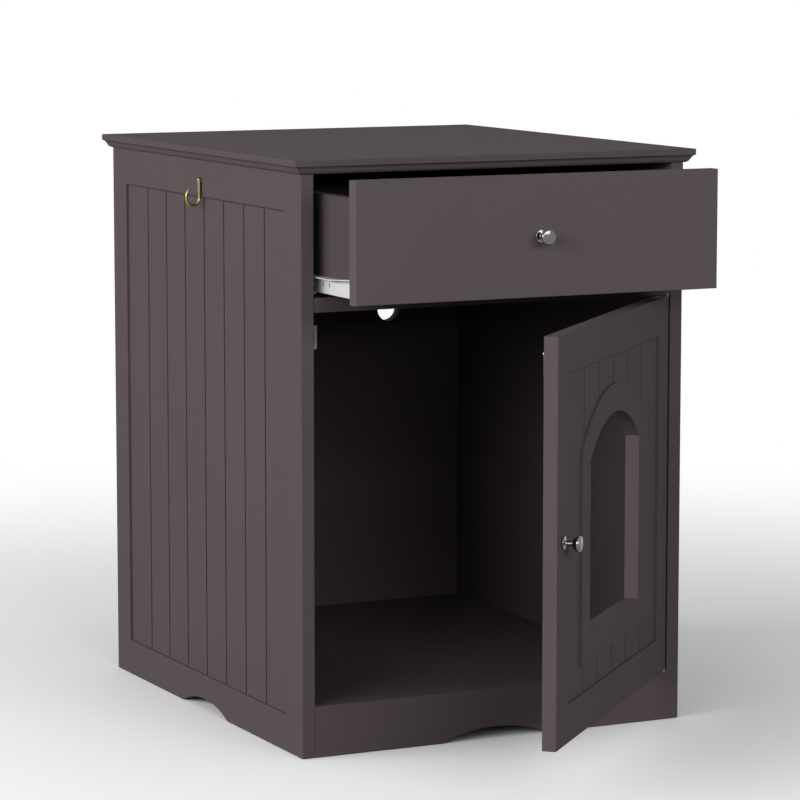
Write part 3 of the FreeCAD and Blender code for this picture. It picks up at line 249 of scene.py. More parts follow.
def plated(name, colour, roughness, haze, patch_size):
    """A plated or polished metal whose gloss varies by haze from patch to patch."""
    finish, tree, shader = start_finish(name, colour, roughness, metallic=1.0)
    patches = grain(tree, patch_size, detail=4.0)
    tree.links.new(spread(tree, patches, roughness, roughness + haze), shader.inputs["Roughness"])
    tree.links.new(tint(tree, patches, darker(colour, 0.9), colour), shader.inputs["Base Color"])
    scratches = grain(tree, 1.2 * MM, detail=2.0, stretch=(1, 0.15, 1))
    brushed = bump(tree, scratches, height=0.004 * MM, strength=0.3)
    tree.links.new(brushed, shader.inputs["Normal"])
    return finish


enamel = powder_coat()
nickel = plated("bright nickel", NICKEL, roughness=0.09, haze=0.05, patch_size=6 * MM)
brass = plated("lacquered brass", BRASS, roughness=0.26, haze=0.12, patch_size=8 * MM)
zinc = plated("zinc plate", ZINC, roughness=0.34, haze=0.18, patch_size=3 * MM)
print("metals:", [metal.name for metal in (enamel, nickel, brass, zinc)])

# %% Nylon, beech, ferrite, lacquer and moulded plastic


def flecked(name, colour, roughness, noise, dark, height, strength):
    """A dull material whose noise makes both its darker flecks and its relief."""
    finish, tree, shader = start_finish(name, colour, roughness)
    fleck = grain(tree, **noise)
    tree.links.new(tint(tree, fleck, darker(colour, dark), colour), shader.inputs["Base Color"])
    tree.links.new(bump(tree, fleck, height, strength), shader.inputs["Normal"])
    return finish


def nylon_finish():
    """Nylon: finely rough, with a faint cloud in its colour."""
    finish, tree, shader = start_finish("nylon", NYLON, roughness=0.42)
    rough = bump(tree, grain(tree, 0.9 * MM, detail=2.0), height=0.02 * MM, strength=0.4)
    tree.links.new(rough, shader.inputs["Normal"])
    cloud = grain(tree, 4 * MM, detail=2.0)
    tree.links.new(tint(tree, cloud, darker(NYLON, 0.93), NYLON), shader.inputs["Base Color"])
    return finish


def lacquered_steel():
    """Steel under a bronze lacquer that has run a little."""
    finish, tree, shader = start_finish("bronze lacquer on steel", LACQUERED_STEEL, roughness=0.5)
    runs = grain(tree, 5 * MM, stretch=(1, 1, 0.4))
    shade = tint(tree, runs, darker(LACQUERED_STEEL, 0.94), LACQUERED_STEEL)
    tree.links.new(shade, shader.inputs["Base Color"])
    tree.links.new(spread(tree, runs, low=0.45, high=0.58), shader.inputs["Roughness"])
    return finish


def moulded_plastic():
    """Moulded plastic: a fine grain from the mould, rubbed smooth in places."""
    finish, tree, shader = start_finish("brown moulded plastic", BROWN_PLASTIC, roughness=0.44)
    texture = bump(tree, grain(tree, 0.5 * MM, detail=2.0), height=0.03 * MM, strength=0.5)
    tree.links.new(texture, shader.inputs["Normal"])
    rubbed = spread(tree, grain(tree, 6 * MM), low=0.38, high=0.5)
    tree.links.new(rubbed, shader.inputs["Roughness"])
    return finish


beech = flecked(
    "bare beech", BEECH, roughness=0.6, dark=0.72, height=0.06 * MM, strength=0.5,
    noise={"size": 1.4 * MM, "detail": 5.0, "stretch": (0.12, 1, 1)},
)
ferrite = flecked(
    "sintered ferrite", FERRITE, roughness=0.66, dark=0.85, height=0.02 * MM, strength=0.4,
    noise={"size": 0.6 * MM},
)

FINISHES = {
    "taupe_paint": case_paint,
    "front_paint": front_paint,
    "door_paint": door_paint,
    "drawer_paint": foil_paint,
    "white_enamel": enamel,
    "bright_nickel": nickel,
    "brass": brass,
    "zinc": zinc,
    "dark_steel": lacquered_steel(),
    "nylon": nylon_finish(),
    "beech": beech,
    "brown_plastic": moulded_plastic(),
    "magnet": ferrite,
}
print("finishes:", len(FINISHES))

# %% [markdown]
# ## Every board gets its finish
#
# The CAD record says which finish each piece takes. The boards and slides already have their true
# shapes and rounded edges, so for them a finish is all that they need.

# %% Paint the CAD pieces
slot_of = {row["node"]: row["material_slot"] for row in frame["record"]["subparts"]}
for name, node in nodes.items():
    node.data.materials.clear()
    node.data.materials.append(FINISHES[slot_of[name]])
print("painted", len(nodes), "nodes in", len(set(slot_of.values())), "finishes")

# %% [markdown]
# ## Finding a small part in the CAD
#
# The knobs, hook, rollers, cams and screws deserve finer shapes than the CAD gives them. Each new
# piece must sit exactly where its CAD twin sits, so its place is measured from that twin. A node
# such as the screws holds several separate solids, and this cell finds them: it welds a copy of
# the mesh, follows its edges from corner to corner, and gives the corners of each solid.
#
# Parts on the door are measured with the door turned back to shut, where they line up with the
# axes. `DOOR` is the turn that takes a shut door to the open one, taken from its hinge joint.

# %% Measure solids
WELD = 1e-5
END_SLICE = 1e-4


def door_turn():
    """The transform from a shut door to the door at rest."""
    hinge = next(joint for joint in frame["joints"] if joint["name"] == "door_hinge")
    pivot = Vector(hinge["pos_m"])
    opened = math.radians(-hinge["range_deg"][0])
    around = Matrix.Translation(pivot) @ Matrix.Rotation(opened, 4, "Z")
    return around @ Matrix.Translation(-pivot)


DOOR = door_turn()
STILL = Matrix.Identity(4)


def solids_of(node, turn=STILL):
    """The corners of each solid of a CAD node, seen from a body that was turned by turn."""
    welded = bmesh.new()
    welded.from_mesh(nodes[node].data)
    bmesh.ops.transform(welded, matrix=turn.inverted(), verts=welded.verts)
    bmesh.ops.remove_doubles(welded, verts=welded.verts, dist=WELD)
    waiting = set(welded.verts)
    found = []
    while waiting:
        reached = [waiting.pop()]
        for corner in reached:
            near = {edge.other_vert(corner) for edge in corner.link_edges} & waiting
            waiting -= near
            reached.extend(near)
        found.append([corner.co.copy() for corner in reached])
    welded.free()
    return found


def corners_box(points):
    """The low and the high corner of the box round some points."""
    low = Vector([min(point[axis] for point in points) for axis in range(3)])
    high = Vector([max(point[axis] for point in points) for axis in range(3)])
    return low, high


def off_axis(points, axis):
    """How far each point is from the middle line of its solid along an axis."""
    low, high = corners_box(points)
    offsets = [point - (low + high) / 2 for point in points]
    for offset in offsets:
        offset[axis] = 0
    return [offset.length for offset in offsets]


def end_radii(points, axis, end):
    """How far the corners at one end of a solid are from its middle line."""
    pairs = zip(points, off_axis(points, axis))
    return [radius for point, radius in pairs if abs(point[axis] - end) < END_SLICE]


def turned_part(points, axis):
    """The length of a solid turned about an axis, and its radius at the low and high end."""
    low, high = corners_box(points)
    radii = [max(end_radii(points, axis, end)) for end in (low[axis], high[axis])]
    return high[axis] - low[axis], *radii


def foot_of(points, axis, way):
    """The middle of the end from which a solid grows along way, 1 or -1, on an axis."""
    low, high = corners_box(points)
    foot = (low + high) / 2
    foot[axis] = (low if way > 0 else high)[axis]
    return foot


print("solids in the door's screws:", len(solids_of("hinge_door_screws", DOOR)))

# %% [markdown]
# ## A lathe and an assembler
#
# Most of the small parts are turned, so one function spins a profile about an axis. A profile is
# a list of (radius, height) pairs from the foot to the crown. Another function takes any number
# of meshes, each with its place, and joins them to one piece that stands for a CAD node. It
# smooths the surface except at real corners. The turned profiles have their rounded edges
# already, and a moulded or pressed piece gets them from a bevel.

# %% Lathe and assembler
SMOOTH_BELOW = math.radians(35)
BEVEL_STEPS = 2


def skin(shape, rings):
    """Faces from each ring of corners to the next; a corner that both rings share counts once."""
    for lower, upper in zip(rings, rings[1:]):
        for step in range(len(lower)):
            after = (step + 1) % len(lower)
            corners = [lower[step], lower[after], upper[after], upper[step]]
            kept = [c for index, c in enumerate(corners) if c not in corners[:index]]
            if len(kept) > 2:
                shape.faces.new(kept)


def sealed(shape):
    """The same bmesh with all its faces turned outward."""
    bmesh.ops.recalc_face_normals(shape, faces=shape.faces)
    return shape


def lathe(profile, turns=40, bored=False):
    """A solid of revolution about +Z, as a bmesh. Its profile starts and ends on the axis, or
    is a closed loop clear of the axis where the solid is bored."""
    shape = bmesh.new()
    angles = [2 * math.pi * step / turns for step in range(turns)]
    rings = []
    for radius, height in profile:
        if radius > 0:
            spots = [(radius * math.cos(a), radius * math.sin(a), height) for a in angles]
            rings.append([shape.verts.new(spot) for spot in spots])
        else:
            rings.append([shape.verts.new((0, 0, height))] * turns)
    skin(shape, rings + rings[:1] if bored else rings)
    return sealed(shape)


def curve_points(centre, radius, start, end, steps):
    """Points of an arc, with its angles in degrees from the profile's radius axis."""
    angles = [math.radians(start + (end - start) * step / steps) for step in range(steps + 1)]
    return [(centre[0] + radius * math.cos(a), centre[1] + radius * math.sin(a)) for a in angles]


def slab(low, high):
    """A box between two corners, as a bmesh."""
    shape = bmesh.new()
    bmesh.ops.create_cube(shape, size=1)
    size = Vector(high) - Vector(low)
    bmesh.ops.scale(shape, vec=size, verts=shape.verts)
    bmesh.ops.translate(shape, vec=(Vector(high) + Vector(low)) / 2, verts=shape.verts)
    return shape


def as_object(name, shape):
    """A new object from a bmesh, which is used up."""
    mesh = bpy.data.meshes.new(name)
    shape.to_mesh(mesh)
    shape.free()
    thing = bpy.data.objects.new(name, mesh)
    bpy.context.scene.collection.objects.link(thing)
    return thing


def carved(shape, tool):
    """A bmesh with another one cut out of it."""
    base, cutter = as_object("base", shape), as_object("cutter", tool)
    modifier = base.modifiers.new("carve", "BOOLEAN")
    modifier.object = cutter
    modifier.operation = "DIFFERENCE"
    modifier.solver = "EXACT"
    bpy.context.view_layer.update()
    shown = base.evaluated_get(bpy.context.evaluated_depsgraph_get())
    result = bmesh.new()
    result.from_mesh(shown.to_mesh())
    for thing in (base, cutter):
        bpy.data.objects.remove(thing)
    return result


def place_on(middle, axis, way):
    """The place of a lathe's piece: its +Z along way (1 or -1) on a row axis, its foot at middle."""
    direction = Vector((0, 0, 0))
    direction[axis] = way
    return Matrix.Translation(middle) @ direction.to_track_quat("Z", "Y").to_matrix().to_4x4()


def dress(piece, node, body):
    """Gives a piece the finish of a CAD node, and lets it ride on a body."""
    piece.data.materials.append(FINISHES[slot_of[node]])
    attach(piece, body)


def assemble(name, parts, body, node, bevel=0):
    """Joins bmeshes at their places to one piece that rides on a body and stands for a node."""
    whole = bmesh.new()
    for shape, spot in parts:
        copy = bpy.data.meshes.new("copy")
        shape.to_mesh(copy)
        copy.transform(spot)
        whole.from_mesh(copy)
        bpy.data.meshes.remove(copy)
    piece = as_object(name, whole)
    piece.data.shade_smooth()
    piece.data.set_sharp_from_angle(angle=SMOOTH_BELOW)
    if bevel:
        rounding = piece.modifiers.new("broken edges", "BEVEL")
        rounding.width = bevel
        rounding.segments = BEVEL_STEPS
        rounding.limit_method = "ANGLE"
        rounding.angle_limit = SMOOTH_BELOW
        rounding.harden_normals = True
    dress(piece, node, body)
    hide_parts(node)
    return piece


# %% [markdown]
# ## Knobs
#
# Each knob is one turned piece: a flat rosette against the board, a cove into a slim neck, a
# stout back that widens to the rim, a well rounded rim, and a face that is nearly flat. The
# whole length and the widths of rosette and head are measured from the CAD knob.

# %% Turn the knobs
FOOT_ROUND = 0.4 * MM
FOOT_ROUND_HEIGHT = 0.5 * MM
ROSETTE = 2.0 * MM
ROSETTE_ROUND = 0.6 * MM
ROSETTE_SLOPE = 2.4 * MM
ROSETTE_RISE = 0.15 * MM
NECK = 2.3 * MM
COVE = 1.6 * MM
COVE_FOOT = 0.3 * MM
NECK_ROUND = 0.6 * MM
HEAD_FOOT = 10.5 * MM
BACK = 5.4 * MM
BACK_ROUND = 1.6 * MM
RIM_ROUND = 2.2 * MM
DOME = 0.6 * MM
DOME_STEPS = 8


def knob_profile(reach, foot, head):
    """A knob's profile; reach is its whole length, foot and head the two greatest radii."""
    profile = [(0, 0), (foot - FOOT_ROUND, 0)]
    profile += curve_points((foot - FOOT_ROUND, FOOT_ROUND_HEIGHT), FOOT_ROUND, -60, 0, 3)
    shoulder = (foot - ROSETTE_ROUND, ROSETTE - ROSETTE_ROUND)
    profile += curve_points(shoulder, ROSETTE_ROUND, 0, 75, 4)
    profile.append((foot - ROSETTE_SLOPE, ROSETTE + ROSETTE_RISE))
    profile += curve_points((NECK + COVE, ROSETTE + COVE_FOOT + COVE), COVE, -90, -180, 6)
    profile += curve_points((NECK + NECK_ROUND, HEAD_FOOT - NECK_ROUND), NECK_ROUND, 180, 100, 4)
    profile += curve_points((BACK - BACK_ROUND, HEAD_FOOT + BACK_ROUND), BACK_ROUND, -90, -25, 6)
    profile += curve_points((head - RIM_ROUND, reach - DOME - RIM_ROUND), RIM_ROUND, -35, 80, 14)
    crown, level = profile[-1]
    for step in range(1, DOME_STEPS):
        share = 1 - step / DOME_STEPS
        profile.append((crown * share, level + (reach - level) * (1 - share ** 2)))
    profile.append((0, reach))
    return profile


def make_knob(node, body, turn):
    """A turned knob that stands out along -Y from the board behind it."""
    (points,) = solids_of(node, turn)
    reach, _, foot = turned_part(points, 1)
    low, high = corners_box(points)
    head = (high.x - low.x) / 2
    print(node, "is", round(reach, 4), "m long and", round(2 * head, 4), "m wide")
    shape = lathe(knob_profile(reach, foot, head), turns=72)
    spot = turn @ place_on(foot_of(points, 1, -1), 1, -1)
    return assemble(node + "_turned", [(shape, spot)], body, node)


knobs = [make_knob("drawer_knob", "drawer", STILL), make_knob("door_knob", "door", DOOR)]
print("knobs:", [knob.name for knob in knobs])

# %% [markdown]
# ## The wire hook
#
# The hook was bent from one rod that tapers toward the tip. We walk along its middle line, first
# down the shank, then round the half circle, up the tip and through its curl, and set a ring of
# corners at each step. All of the line lies in one plane, so each ring stands square to it with
# a plain turn about Y.

# %% Bend the hook
HOOK_ROOT = 2.2 * MM
HOOK_WIRE = 1.5 * MM
HOOK_BEND = 7.8 * MM
HOOK_RISE = 1.9 * MM
HOOK_CURL = 10.0 * MM
HOOK_CURL_END = 135
HOOK_BOSS = 2.4 * MM
BOSS_STRAIGHT = 0.7 * MM
BOSS_ROUND = 0.9 * MM
SHANK_STEPS = 8
DOME_LEANS = [math.radians(lean) for lean in (30, 55, 80)]
ROOT_FLATNESS = 0.6
SIDEWAYS = Vector((0, 1, 0))


def hook_line(shank_x, top, bottom):
    """Points of the hook's middle line in X and Z, each with the rod's radius there."""
    shank = []
    for step in range(SHANK_STEPS + 1):
        share = step / SHANK_STEPS
        radius = HOOK_ROOT + (HOOK_WIRE - HOOK_ROOT) * share
        shank.append((shank_x, top + (bottom - top) * share, radius))
    bend = curve_points((shank_x - HOOK_BEND, bottom), HOOK_BEND, 0, -180, 24)[1:]
    curl_middle = (shank_x - 2 * HOOK_BEND + HOOK_CURL, bottom + HOOK_RISE)
    curl = curve_points(curl_middle, HOOK_CURL, 180, HOOK_CURL_END, 12)
    return shank + [(x, z, HOOK_WIRE) for x, z in bend + curl]


def rod_along(line, y, turns=24):
    """A rod round a line in the XZ plane, with domed ends."""
    shape = bmesh.new()
    rings = []
    points = [Vector((x, y, z)) for x, z, radius in line]
    radii = [radius for x, z, radius in line]
    padded = [line[0], *line, line[-1]]
    ahead = []
    for before, after in zip(padded, padded[2:]):
        ahead.append(Vector((after[0] - before[0], 0, after[1] - before[1])).normalized())

    def ring(centre, along, radius):
        """Adds a ring of corners square to along."""
        side = along.cross(SIDEWAYS)
        corners = []
        for step in range(turns):
            angle = 2 * math.pi * step / turns
            offset = side * math.cos(angle) + SIDEWAYS * math.sin(angle)
            corners.append(shape.verts.new(centre + offset * radius))
        rings.append(corners)

    for lean in reversed(DOME_LEANS):
        back = ahead[0] * radii[0] * math.sin(lean) * ROOT_FLATNESS
        ring(points[0] - back, ahead[0], radii[0] * math.cos(lean))
    for point, along, radius in zip(points, ahead, radii):
        ring(point, along, radius)
    for lean in DOME_LEANS:
        out = ahead[-1] * radii[-1] * math.sin(lean)
        ring(points[-1] + out, ahead[-1], radii[-1] * math.cos(lean))
    skin(shape, rings)
    shape.faces.new(rings[0])
    shape.faces.new(rings[-1])
    return sealed(shape)


def make_hook():
    """The bent rod and the boss that stands out from the side board, as one piece."""
    low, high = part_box("hook")
    middle_y = (low.y + high.y) / 2
    outer = low.x + HOOK_WIRE
    shank_x = outer + 2 * HOOK_BEND
    bottom = low.z + HOOK_WIRE + HOOK_BEND
    top = high.z - HOOK_BOSS
    rod = rod_along(hook_line(shank_x, top, bottom), middle_y)
    length = high.x - shank_x + HOOK_ROOT
    collar = [(0, 0), (HOOK_BOSS, 0), (HOOK_BOSS, length - BOSS_STRAIGHT)]
    collar += curve_points((HOOK_BOSS - BOSS_ROUND, length - BOSS_ROUND), BOSS_ROUND, 20, 90, 5)
    collar.append((0, length))
    seat = Vector((high.x, middle_y, top))
    boss = (lathe(collar, turns=32), place_on(seat, 0, -1))
    return assemble("hook_bent", [(rod, STILL), boss], "carcass", "hook")


hook = make_hook()
print("hook:", len(hook.data.vertices), "corners")

# %% [markdown]
# ## Screws
#
# The screws have two kinds of head: pan heads that stand on a face, and flat heads that are sunk
# level with it. The knobs' machine screws have pan heads too. The head is the wide end of its CAD
# solid. Every head has a cross slot, cut a little less deep than the head is high. The arc of a
# pan head is given in radians, and so are the angles of the rivets further on.

# %% Make the screws
SLOT_SHARE = 0.62
SLOT_WIDTH_SHARE = 0.24
SLOT_TAPER = 0.55
SLOT_DEPTH_SHARE = 0.7
SCREW_TIP = 1.5 * MM
TIP_FLAT_SHARE = 0.25
TIP_FLAT_HEIGHT = 0.1 * MM
FLAT_EDGE = 0.2 * MM
PAN_SIDE_SHARE = 0.35
PAN_ARC = 1.35
PAN_STEPS = 7
SHANK_PLAY = 0.05 * MM


def cross_cutter(radius, top, depth):
    """A plus-shaped punch that tapers downward, to cut a cross slot."""
    reach, half = radius * SLOT_SHARE, radius * SLOT_WIDTH_SHARE / 2
    arm = [(half, half), (half, reach), (-half, reach)]
    outline = []
    for quarter in range(4):
        turned = math.radians(90 * quarter)
        for x, y in arm:
            outline.append((x * math.cos(turned) - y * math.sin(turned),
                            x * math.sin(turned) + y * math.cos(turned)))
    shape = bmesh.new()
    upper = [shape.verts.new((x, y, top + depth)) for x, y in outline]
    lower = [shape.verts.new((x * SLOT_TAPER, y * SLOT_TAPER, top - depth)) for x, y in outline]
    shape.faces.new(upper)
    shape.faces.new(lower[::-1])
    skin(shape, [lower, upper])
    return sealed(shape)


def screw_shape(kind, head, shank, head_height, length):
    """A screw along +Z: its tip at 0 and the crown of its head at length."""
    under = length - head_height
    tip = min(SCREW_TIP, under / 3)
    profile = [(0, 0), (shank * TIP_FLAT_SHARE, TIP_FLAT_HEIGHT), (shank, tip), (shank, under)]
    if kind == "flat":
        profile += [(head, length - FLAT_EDGE), (head, length)]
    else:
        profile += [(head, under), (head, under + head_height * PAN_SIDE_SHARE)]
        for step in range(1, PAN_STEPS):
            angle = step / PAN_STEPS * PAN_ARC
            rise = PAN_SIDE_SHARE + (1 - PAN_SIDE_SHARE) * math.sin(angle)
            profile.append((head * math.cos(angle), under + head_height * rise))
    profile.append((0, length))
    slot = cross_cutter(head, length, head_height * SLOT_DEPTH_SHARE)
    return carved(lathe(profile, turns=28), slot)


SCREWS = [
    ("cabinet_slide_screws", "carcass", STILL, "pan"),
    ("drawer_slide_screws", "drawer", STILL, "pan"),
    ("hook_screw", "carcass", STILL, "pan"),
    ("drawer_knob_screw", "drawer", STILL, "pan"),
    ("door_knob_screw", "door", DOOR, "pan"),
    ("strike_screw", "door", DOOR, "pan"),
    ("hinge_cabinet_screws", "carcass", STILL, "flat"),
    ("hinge_door_screws", "door", DOOR, "flat"),
    ("catch_screws", "carcass", STILL, "flat"),
    ("drawer_box_screws", "drawer", STILL, "flat"),
]


def longest_axis(points):
    """The axis along which a solid is longest, 0 to 2."""
    low, high = corners_box(points)
    size = high - low
    return max(range(3), key=lambda axis: size[axis])


def head_height(points, axis, way, shank):
    """How far the head reaches from the crown before the screw is down to its shank."""
    low, high = corners_box(points)
    crown = (high if way > 0 else low)[axis]
    pairs = zip(points, off_axis(points, axis))
    wide = [point for point, radius in pairs if radius > shank + SHANK_PLAY]
    return max((abs(point[axis] - crown) for point in wide), default=0)


def make_screws(node, body, turn, kind):
    """All screws of a CAD node as one piece; those of one size share a shape."""
    parts, made = [], {}
    for points in solids_of(node, turn):
        low, high = corners_box(points)
        axis = longest_axis(points)
        length, low_radius, high_radius = turned_part(points, axis)
        way = 1 if high_radius > low_radius else -1
        shank = min(low_radius, high_radius)
        head = max((high - low)[other] for other in range(3) if other != axis) / 2
        depth = head_height(points, axis, way, shank)
        if kind == "flat":
            depth = max(depth, head - shank)
        size = tuple(round(value, 5) for value in (head, shank, depth, length))
        if size not in made:
            made[size] = screw_shape(kind, *size)
        spot = turn @ place_on(foot_of(points, axis, way), axis, way)
        parts.append((made[size], spot))
    return assemble(node + "_turned", parts, body, node)


screws = [make_screws(*row) for row in SCREWS]
print("screw pieces:", len(screws), "corners:", sum(len(s.data.vertices) for s in screws))

# %% [markdown]
# ## Rollers and their rivets
#
# A slide's roller is a nylon tyre with a raised hub and a shallow dish on each face, held by a
# domed rivet.

# %% Make the rollers
ROLLER_BORE = 2.05 * MM
HUB_WALL = 1.3 * MM
HUB_SLOPE = 0.3 * MM
DISH = 0.7 * MM
RIM_WALL = 1.6 * MM
RIM_SLOPE = 0.4 * MM
TREAD_ROUND = 0.5 * MM
RIVET_DOME = 0.8 * MM
RIVET_LEANS = (0.3, 0.6, 0.9, 1.2)
ROLLERS = [f"{end}_roller_{side}" for end in ("front", "rear") for side in ("left", "right")]


def roller_profile(radius, width):
    """A wheel on +Z, from its foot face round the tread and back through the bore."""
    hub, rim = ROLLER_BORE + HUB_WALL, radius - RIM_WALL
    face = [(ROLLER_BORE, 0), (hub, 0), (hub + HUB_SLOPE, DISH), (rim, DISH), (rim + RIM_SLOPE, 0)]
    tread = radius - TREAD_ROUND
    profile = face + curve_points((tread, TREAD_ROUND), TREAD_ROUND, -90, 0, 4)
    profile += curve_points((tread, width - TREAD_ROUND), TREAD_ROUND, 0, 90, 4)
    return profile + [(spot, width - height) for spot, height in reversed(face)]


def make_roller(node):
    """A nylon wheel in the place of its CAD roller."""
    low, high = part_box(node)
    radius = (high.z - low.z) / 2
    seat = Vector((low.x, (low.y + high.y) / 2, (low.z + high.z) / 2))
    wheel = lathe(roller_profile(radius, high.x - low.x), turns=48, bored=True)
    return assemble(node + "_wheel", [(wheel, place_on(seat, 0, 1))], node + "_body", node)


def make_rivets(node, body):
    """The rivets of two rollers, each with its dome on the wide end of its CAD solid."""
    parts = []
    for points in solids_of(node):
        length, low_radius, high_radius = turned_part(points, 0)
        way = 1 if high_radius > low_radius else -1
        stem, head = min(low_radius, high_radius), max(low_radius, high_radius)
        flat = length - RIVET_DOME
        profile = [(0, 0), (stem, 0), (stem, flat), (head, flat)]
        profile += [(head * math.cos(a), flat + RIVET_DOME * math.sin(a)) for a in RIVET_LEANS]
        profile.append((0, length))
        parts.append((lathe(profile, turns=28), place_on(foot_of(points, 0, way), 0, way)))
    return assemble(node + "_domed", parts, body, node)


rollers = [make_roller(node) for node in ROLLERS]
rivets = [make_rivets("front_roller_pins", "carcass"), make_rivets("rear_roller_pins", "drawer")]
print("rollers:", len(rollers), "rivet pieces:", len(rivets))

# %% [markdown]
# ## Cam locks
#
# A cam lock is a zinc drum that turns in its bore and pulls a bolt's head in. Its face has a
# raised rim, a cross slot for the screwdriver and a notch at its rim that shows which way it is
# turned.

# %% Make the cam locks
CAM_RIM = 1.0 * MM
CAM_DISH = 0.5 * MM
CAM_FOOT_EDGE = 0.4 * MM
CAM_FACE_EDGE = 0.3 * MM
CAM_SLOT_SHARE = 0.62
CAM_SLOT_DEPTH = 2.2 * MM
NOTCH_SHARES = (0.45, 1.2)
NOTCH_HALF = 0.6 * MM
NOTCH_DEPTH = 1.4 * MM


def cam_shape(radius, depth):
    """A drum along +Z whose face is at the top, with a rim, a dished face and a cross slot."""
    rim, dished = radius - CAM_RIM, depth - CAM_DISH
    profile = [(0, 0), (radius - CAM_FOOT_EDGE, 0), (radius, CAM_FOOT_EDGE)]
    profile += [(radius, depth - CAM_FACE_EDGE), (radius - CAM_FACE_EDGE, depth)]
    profile += [(rim, depth), (rim - CAM_DISH, dished), (0, dished)]
    slot = cross_cutter(radius * CAM_SLOT_SHARE, dished, CAM_SLOT_DEPTH)
    near, far = [radius * share for share in NOTCH_SHARES]
    notch = slab((near, -NOTCH_HALF, depth - NOTCH_DEPTH), (far, NOTCH_HALF, depth + MM))
    return carved(carved(lathe(profile), slot), notch)


def cam_face(points, axis):
    """1 or -1: the end of the drum in which the key's cone opens."""
    low, high = corners_box(points)
    at_low, at_high = [min(end_radii(points, axis, end)) for end in (low[axis], high[axis])]
    return 1 if at_high < at_low else -1


def make_cams():
    """All the cam locks as one piece; those of one size share a shape."""
    parts, made = [], {}
    for points in solids_of("cam_locks"):
        low, high = corners_box(points)
        size = high - low
        axis = min(range(3), key=lambda index: size[index])
        key = (round(max(size) / 2, 5), round(size[axis], 5))
        if key not in made:
            made[key] = cam_shape(*key)
        way = cam_face(points, axis)
        parts.append((made[key], place_on(foot_of(points, axis, way), axis, way)))
    return assemble("cam_locks_cast", parts, "carcass", "cam_locks")


cams = make_cams()
print("cam locks:", len(cams.data.vertices), "corners")

# %% [markdown]
# ## The magnetic catch
#
# The catch's housing is moulded and its strike plate is pressed, so all their outer corners are
# softly rounded. We take the CAD shape itself, weld it, and round every corner.

# %% Mould the catch
FLAT_WITHIN = math.radians(1)
CATCH_ROUND = 0.3 * MM
STRIKE_ROUND = 0.15 * MM


def moulded(node, body, width):
    """A copy of a CAD node with its corners rounded."""
    shape = bmesh.new()
    shape.from_mesh(nodes[node].data)
    bmesh.ops.remove_doubles(shape, verts=shape.verts, dist=WELD)
    bmesh.ops.dissolve_limit(shape, angle_limit=FLAT_WITHIN, verts=shape.verts, edges=shape.edges)
    return assemble(node + "_moulded", [(shape, STILL)], body, node, bevel=width)


catch = moulded("catch_housing", "carcass", CATCH_ROUND)
strike = moulded("strike_plate", "door", STRIKE_ROUND)
print("catch:", catch.name, "strike:", strike.name)

# %% [markdown]
# ## The slope over each sunk field
#
# A dark line runs along the top of each sunk field, on the sides and on the door. It is the
# field's upper edge, which the router left as a steep slope: it faces down, so it lies in its own
# shade. The boards that we loaded have a square step there. We lay a thin strip into that corner,
# as deep as the field is sunk, and measure its place from the corners of the planks.

# %% Lay in the slopes
FIELD_DEPTH = 3.0 * MM
SLOPE_TALL = 2.4 * MM
# board, body, turn, the axis that its face looks along, and which end of that axis it is
SUNK_BOARDS = [
    ("left_side_panel", "carcass", STILL, 0, -1),
    ("right_side_panel", "carcass", STILL, 0, 1),
    ("door_panel", "door", DOOR, 1, -1),
]


def field_slope(node, body, turn, axis, way):
    """A strip with a three-cornered section, under the upper edge of a board's sunk field."""
    points = [point for solid in solids_of(node, turn) for point in solid]
    low, high = corners_box(points)
    face = (low if way < 0 else high)[axis]
    sunk = face - way * FIELD_DEPTH
    low, high = corners_box([point for point in points if abs(point[axis] - sunk) < END_SLICE])
    section = [(face, high.z), (sunk, high.z), (sunk, high.z - SLOPE_TALL)]
    shape = bmesh.new()
    ends = []
    for along in (low[1 - axis], high[1 - axis]):
        spots = [(depth, along, z) if axis == 0 else (along, depth, z) for depth, z in section]
        ends.append([shape.verts.new(spot) for spot in spots])
        shape.faces.new(ends[-1])
    skin(shape, ends)
    bmesh.ops.transform(sealed(shape), matrix=turn, verts=shape.verts)
    strip = as_object(node + "_slope", shape)
    dress(strip, node, body)
    print(strip.name, "is", round(high[1 - axis] - low[1 - axis], 4), "m long")
    return strip


slopes = [field_slope(*row) for row in SUNK_BOARDS]

# %% [markdown]
# ## The studio
#
# The photograph's light comes from two broad soft boxes: a very wide one on the left, almost
# square to the cabinet's side, and a narrower one in front. They hang just high enough to lay a
# dark line under the top's moulded edge, and low enough to leave the top itself dark. A third,
# weak one behind keeps the back readable when we walk round the cabinet; it is hidden from
# reflections, so the top gets no glare from it.
#
# The floor starts pale grey round the cabinet, keeps its shadow, and fades to pure white. It
# glows a little wherever nothing stands close by, as paper does under an overhead sky. A floor
# bright enough for that would throw light up at the cabinet, so it is bright only for what the
# camera and the reflections see. The world is white in the same way.

# %% World
WORLD_FILL = 0.03
BACKDROP = 1.0


def maths(tree, operation, first, second):
    """One step of arithmetic between sockets or numbers."""
    step = tree.nodes.new("ShaderNodeMath")
    step.operation = operation
    for value, socket in zip((first, second), step.inputs):
        if isinstance(value, (int, float)):
            socket.default_value = value
        else:
            tree.links.new(value, socket)
    return step.outputs[0]


def clear_view(tree):
    """1 for what the camera, reflections and glass see, and 0 for light that lands on a surface."""
    path = tree.nodes.new("ShaderNodeLightPath")
    total = path.outputs["Is Camera Ray"]
    for ray in ("Is Glossy Ray", "Is Transmission Ray"):
        total = maths(tree, "MAXIMUM", total, path.outputs[ray])
    return total


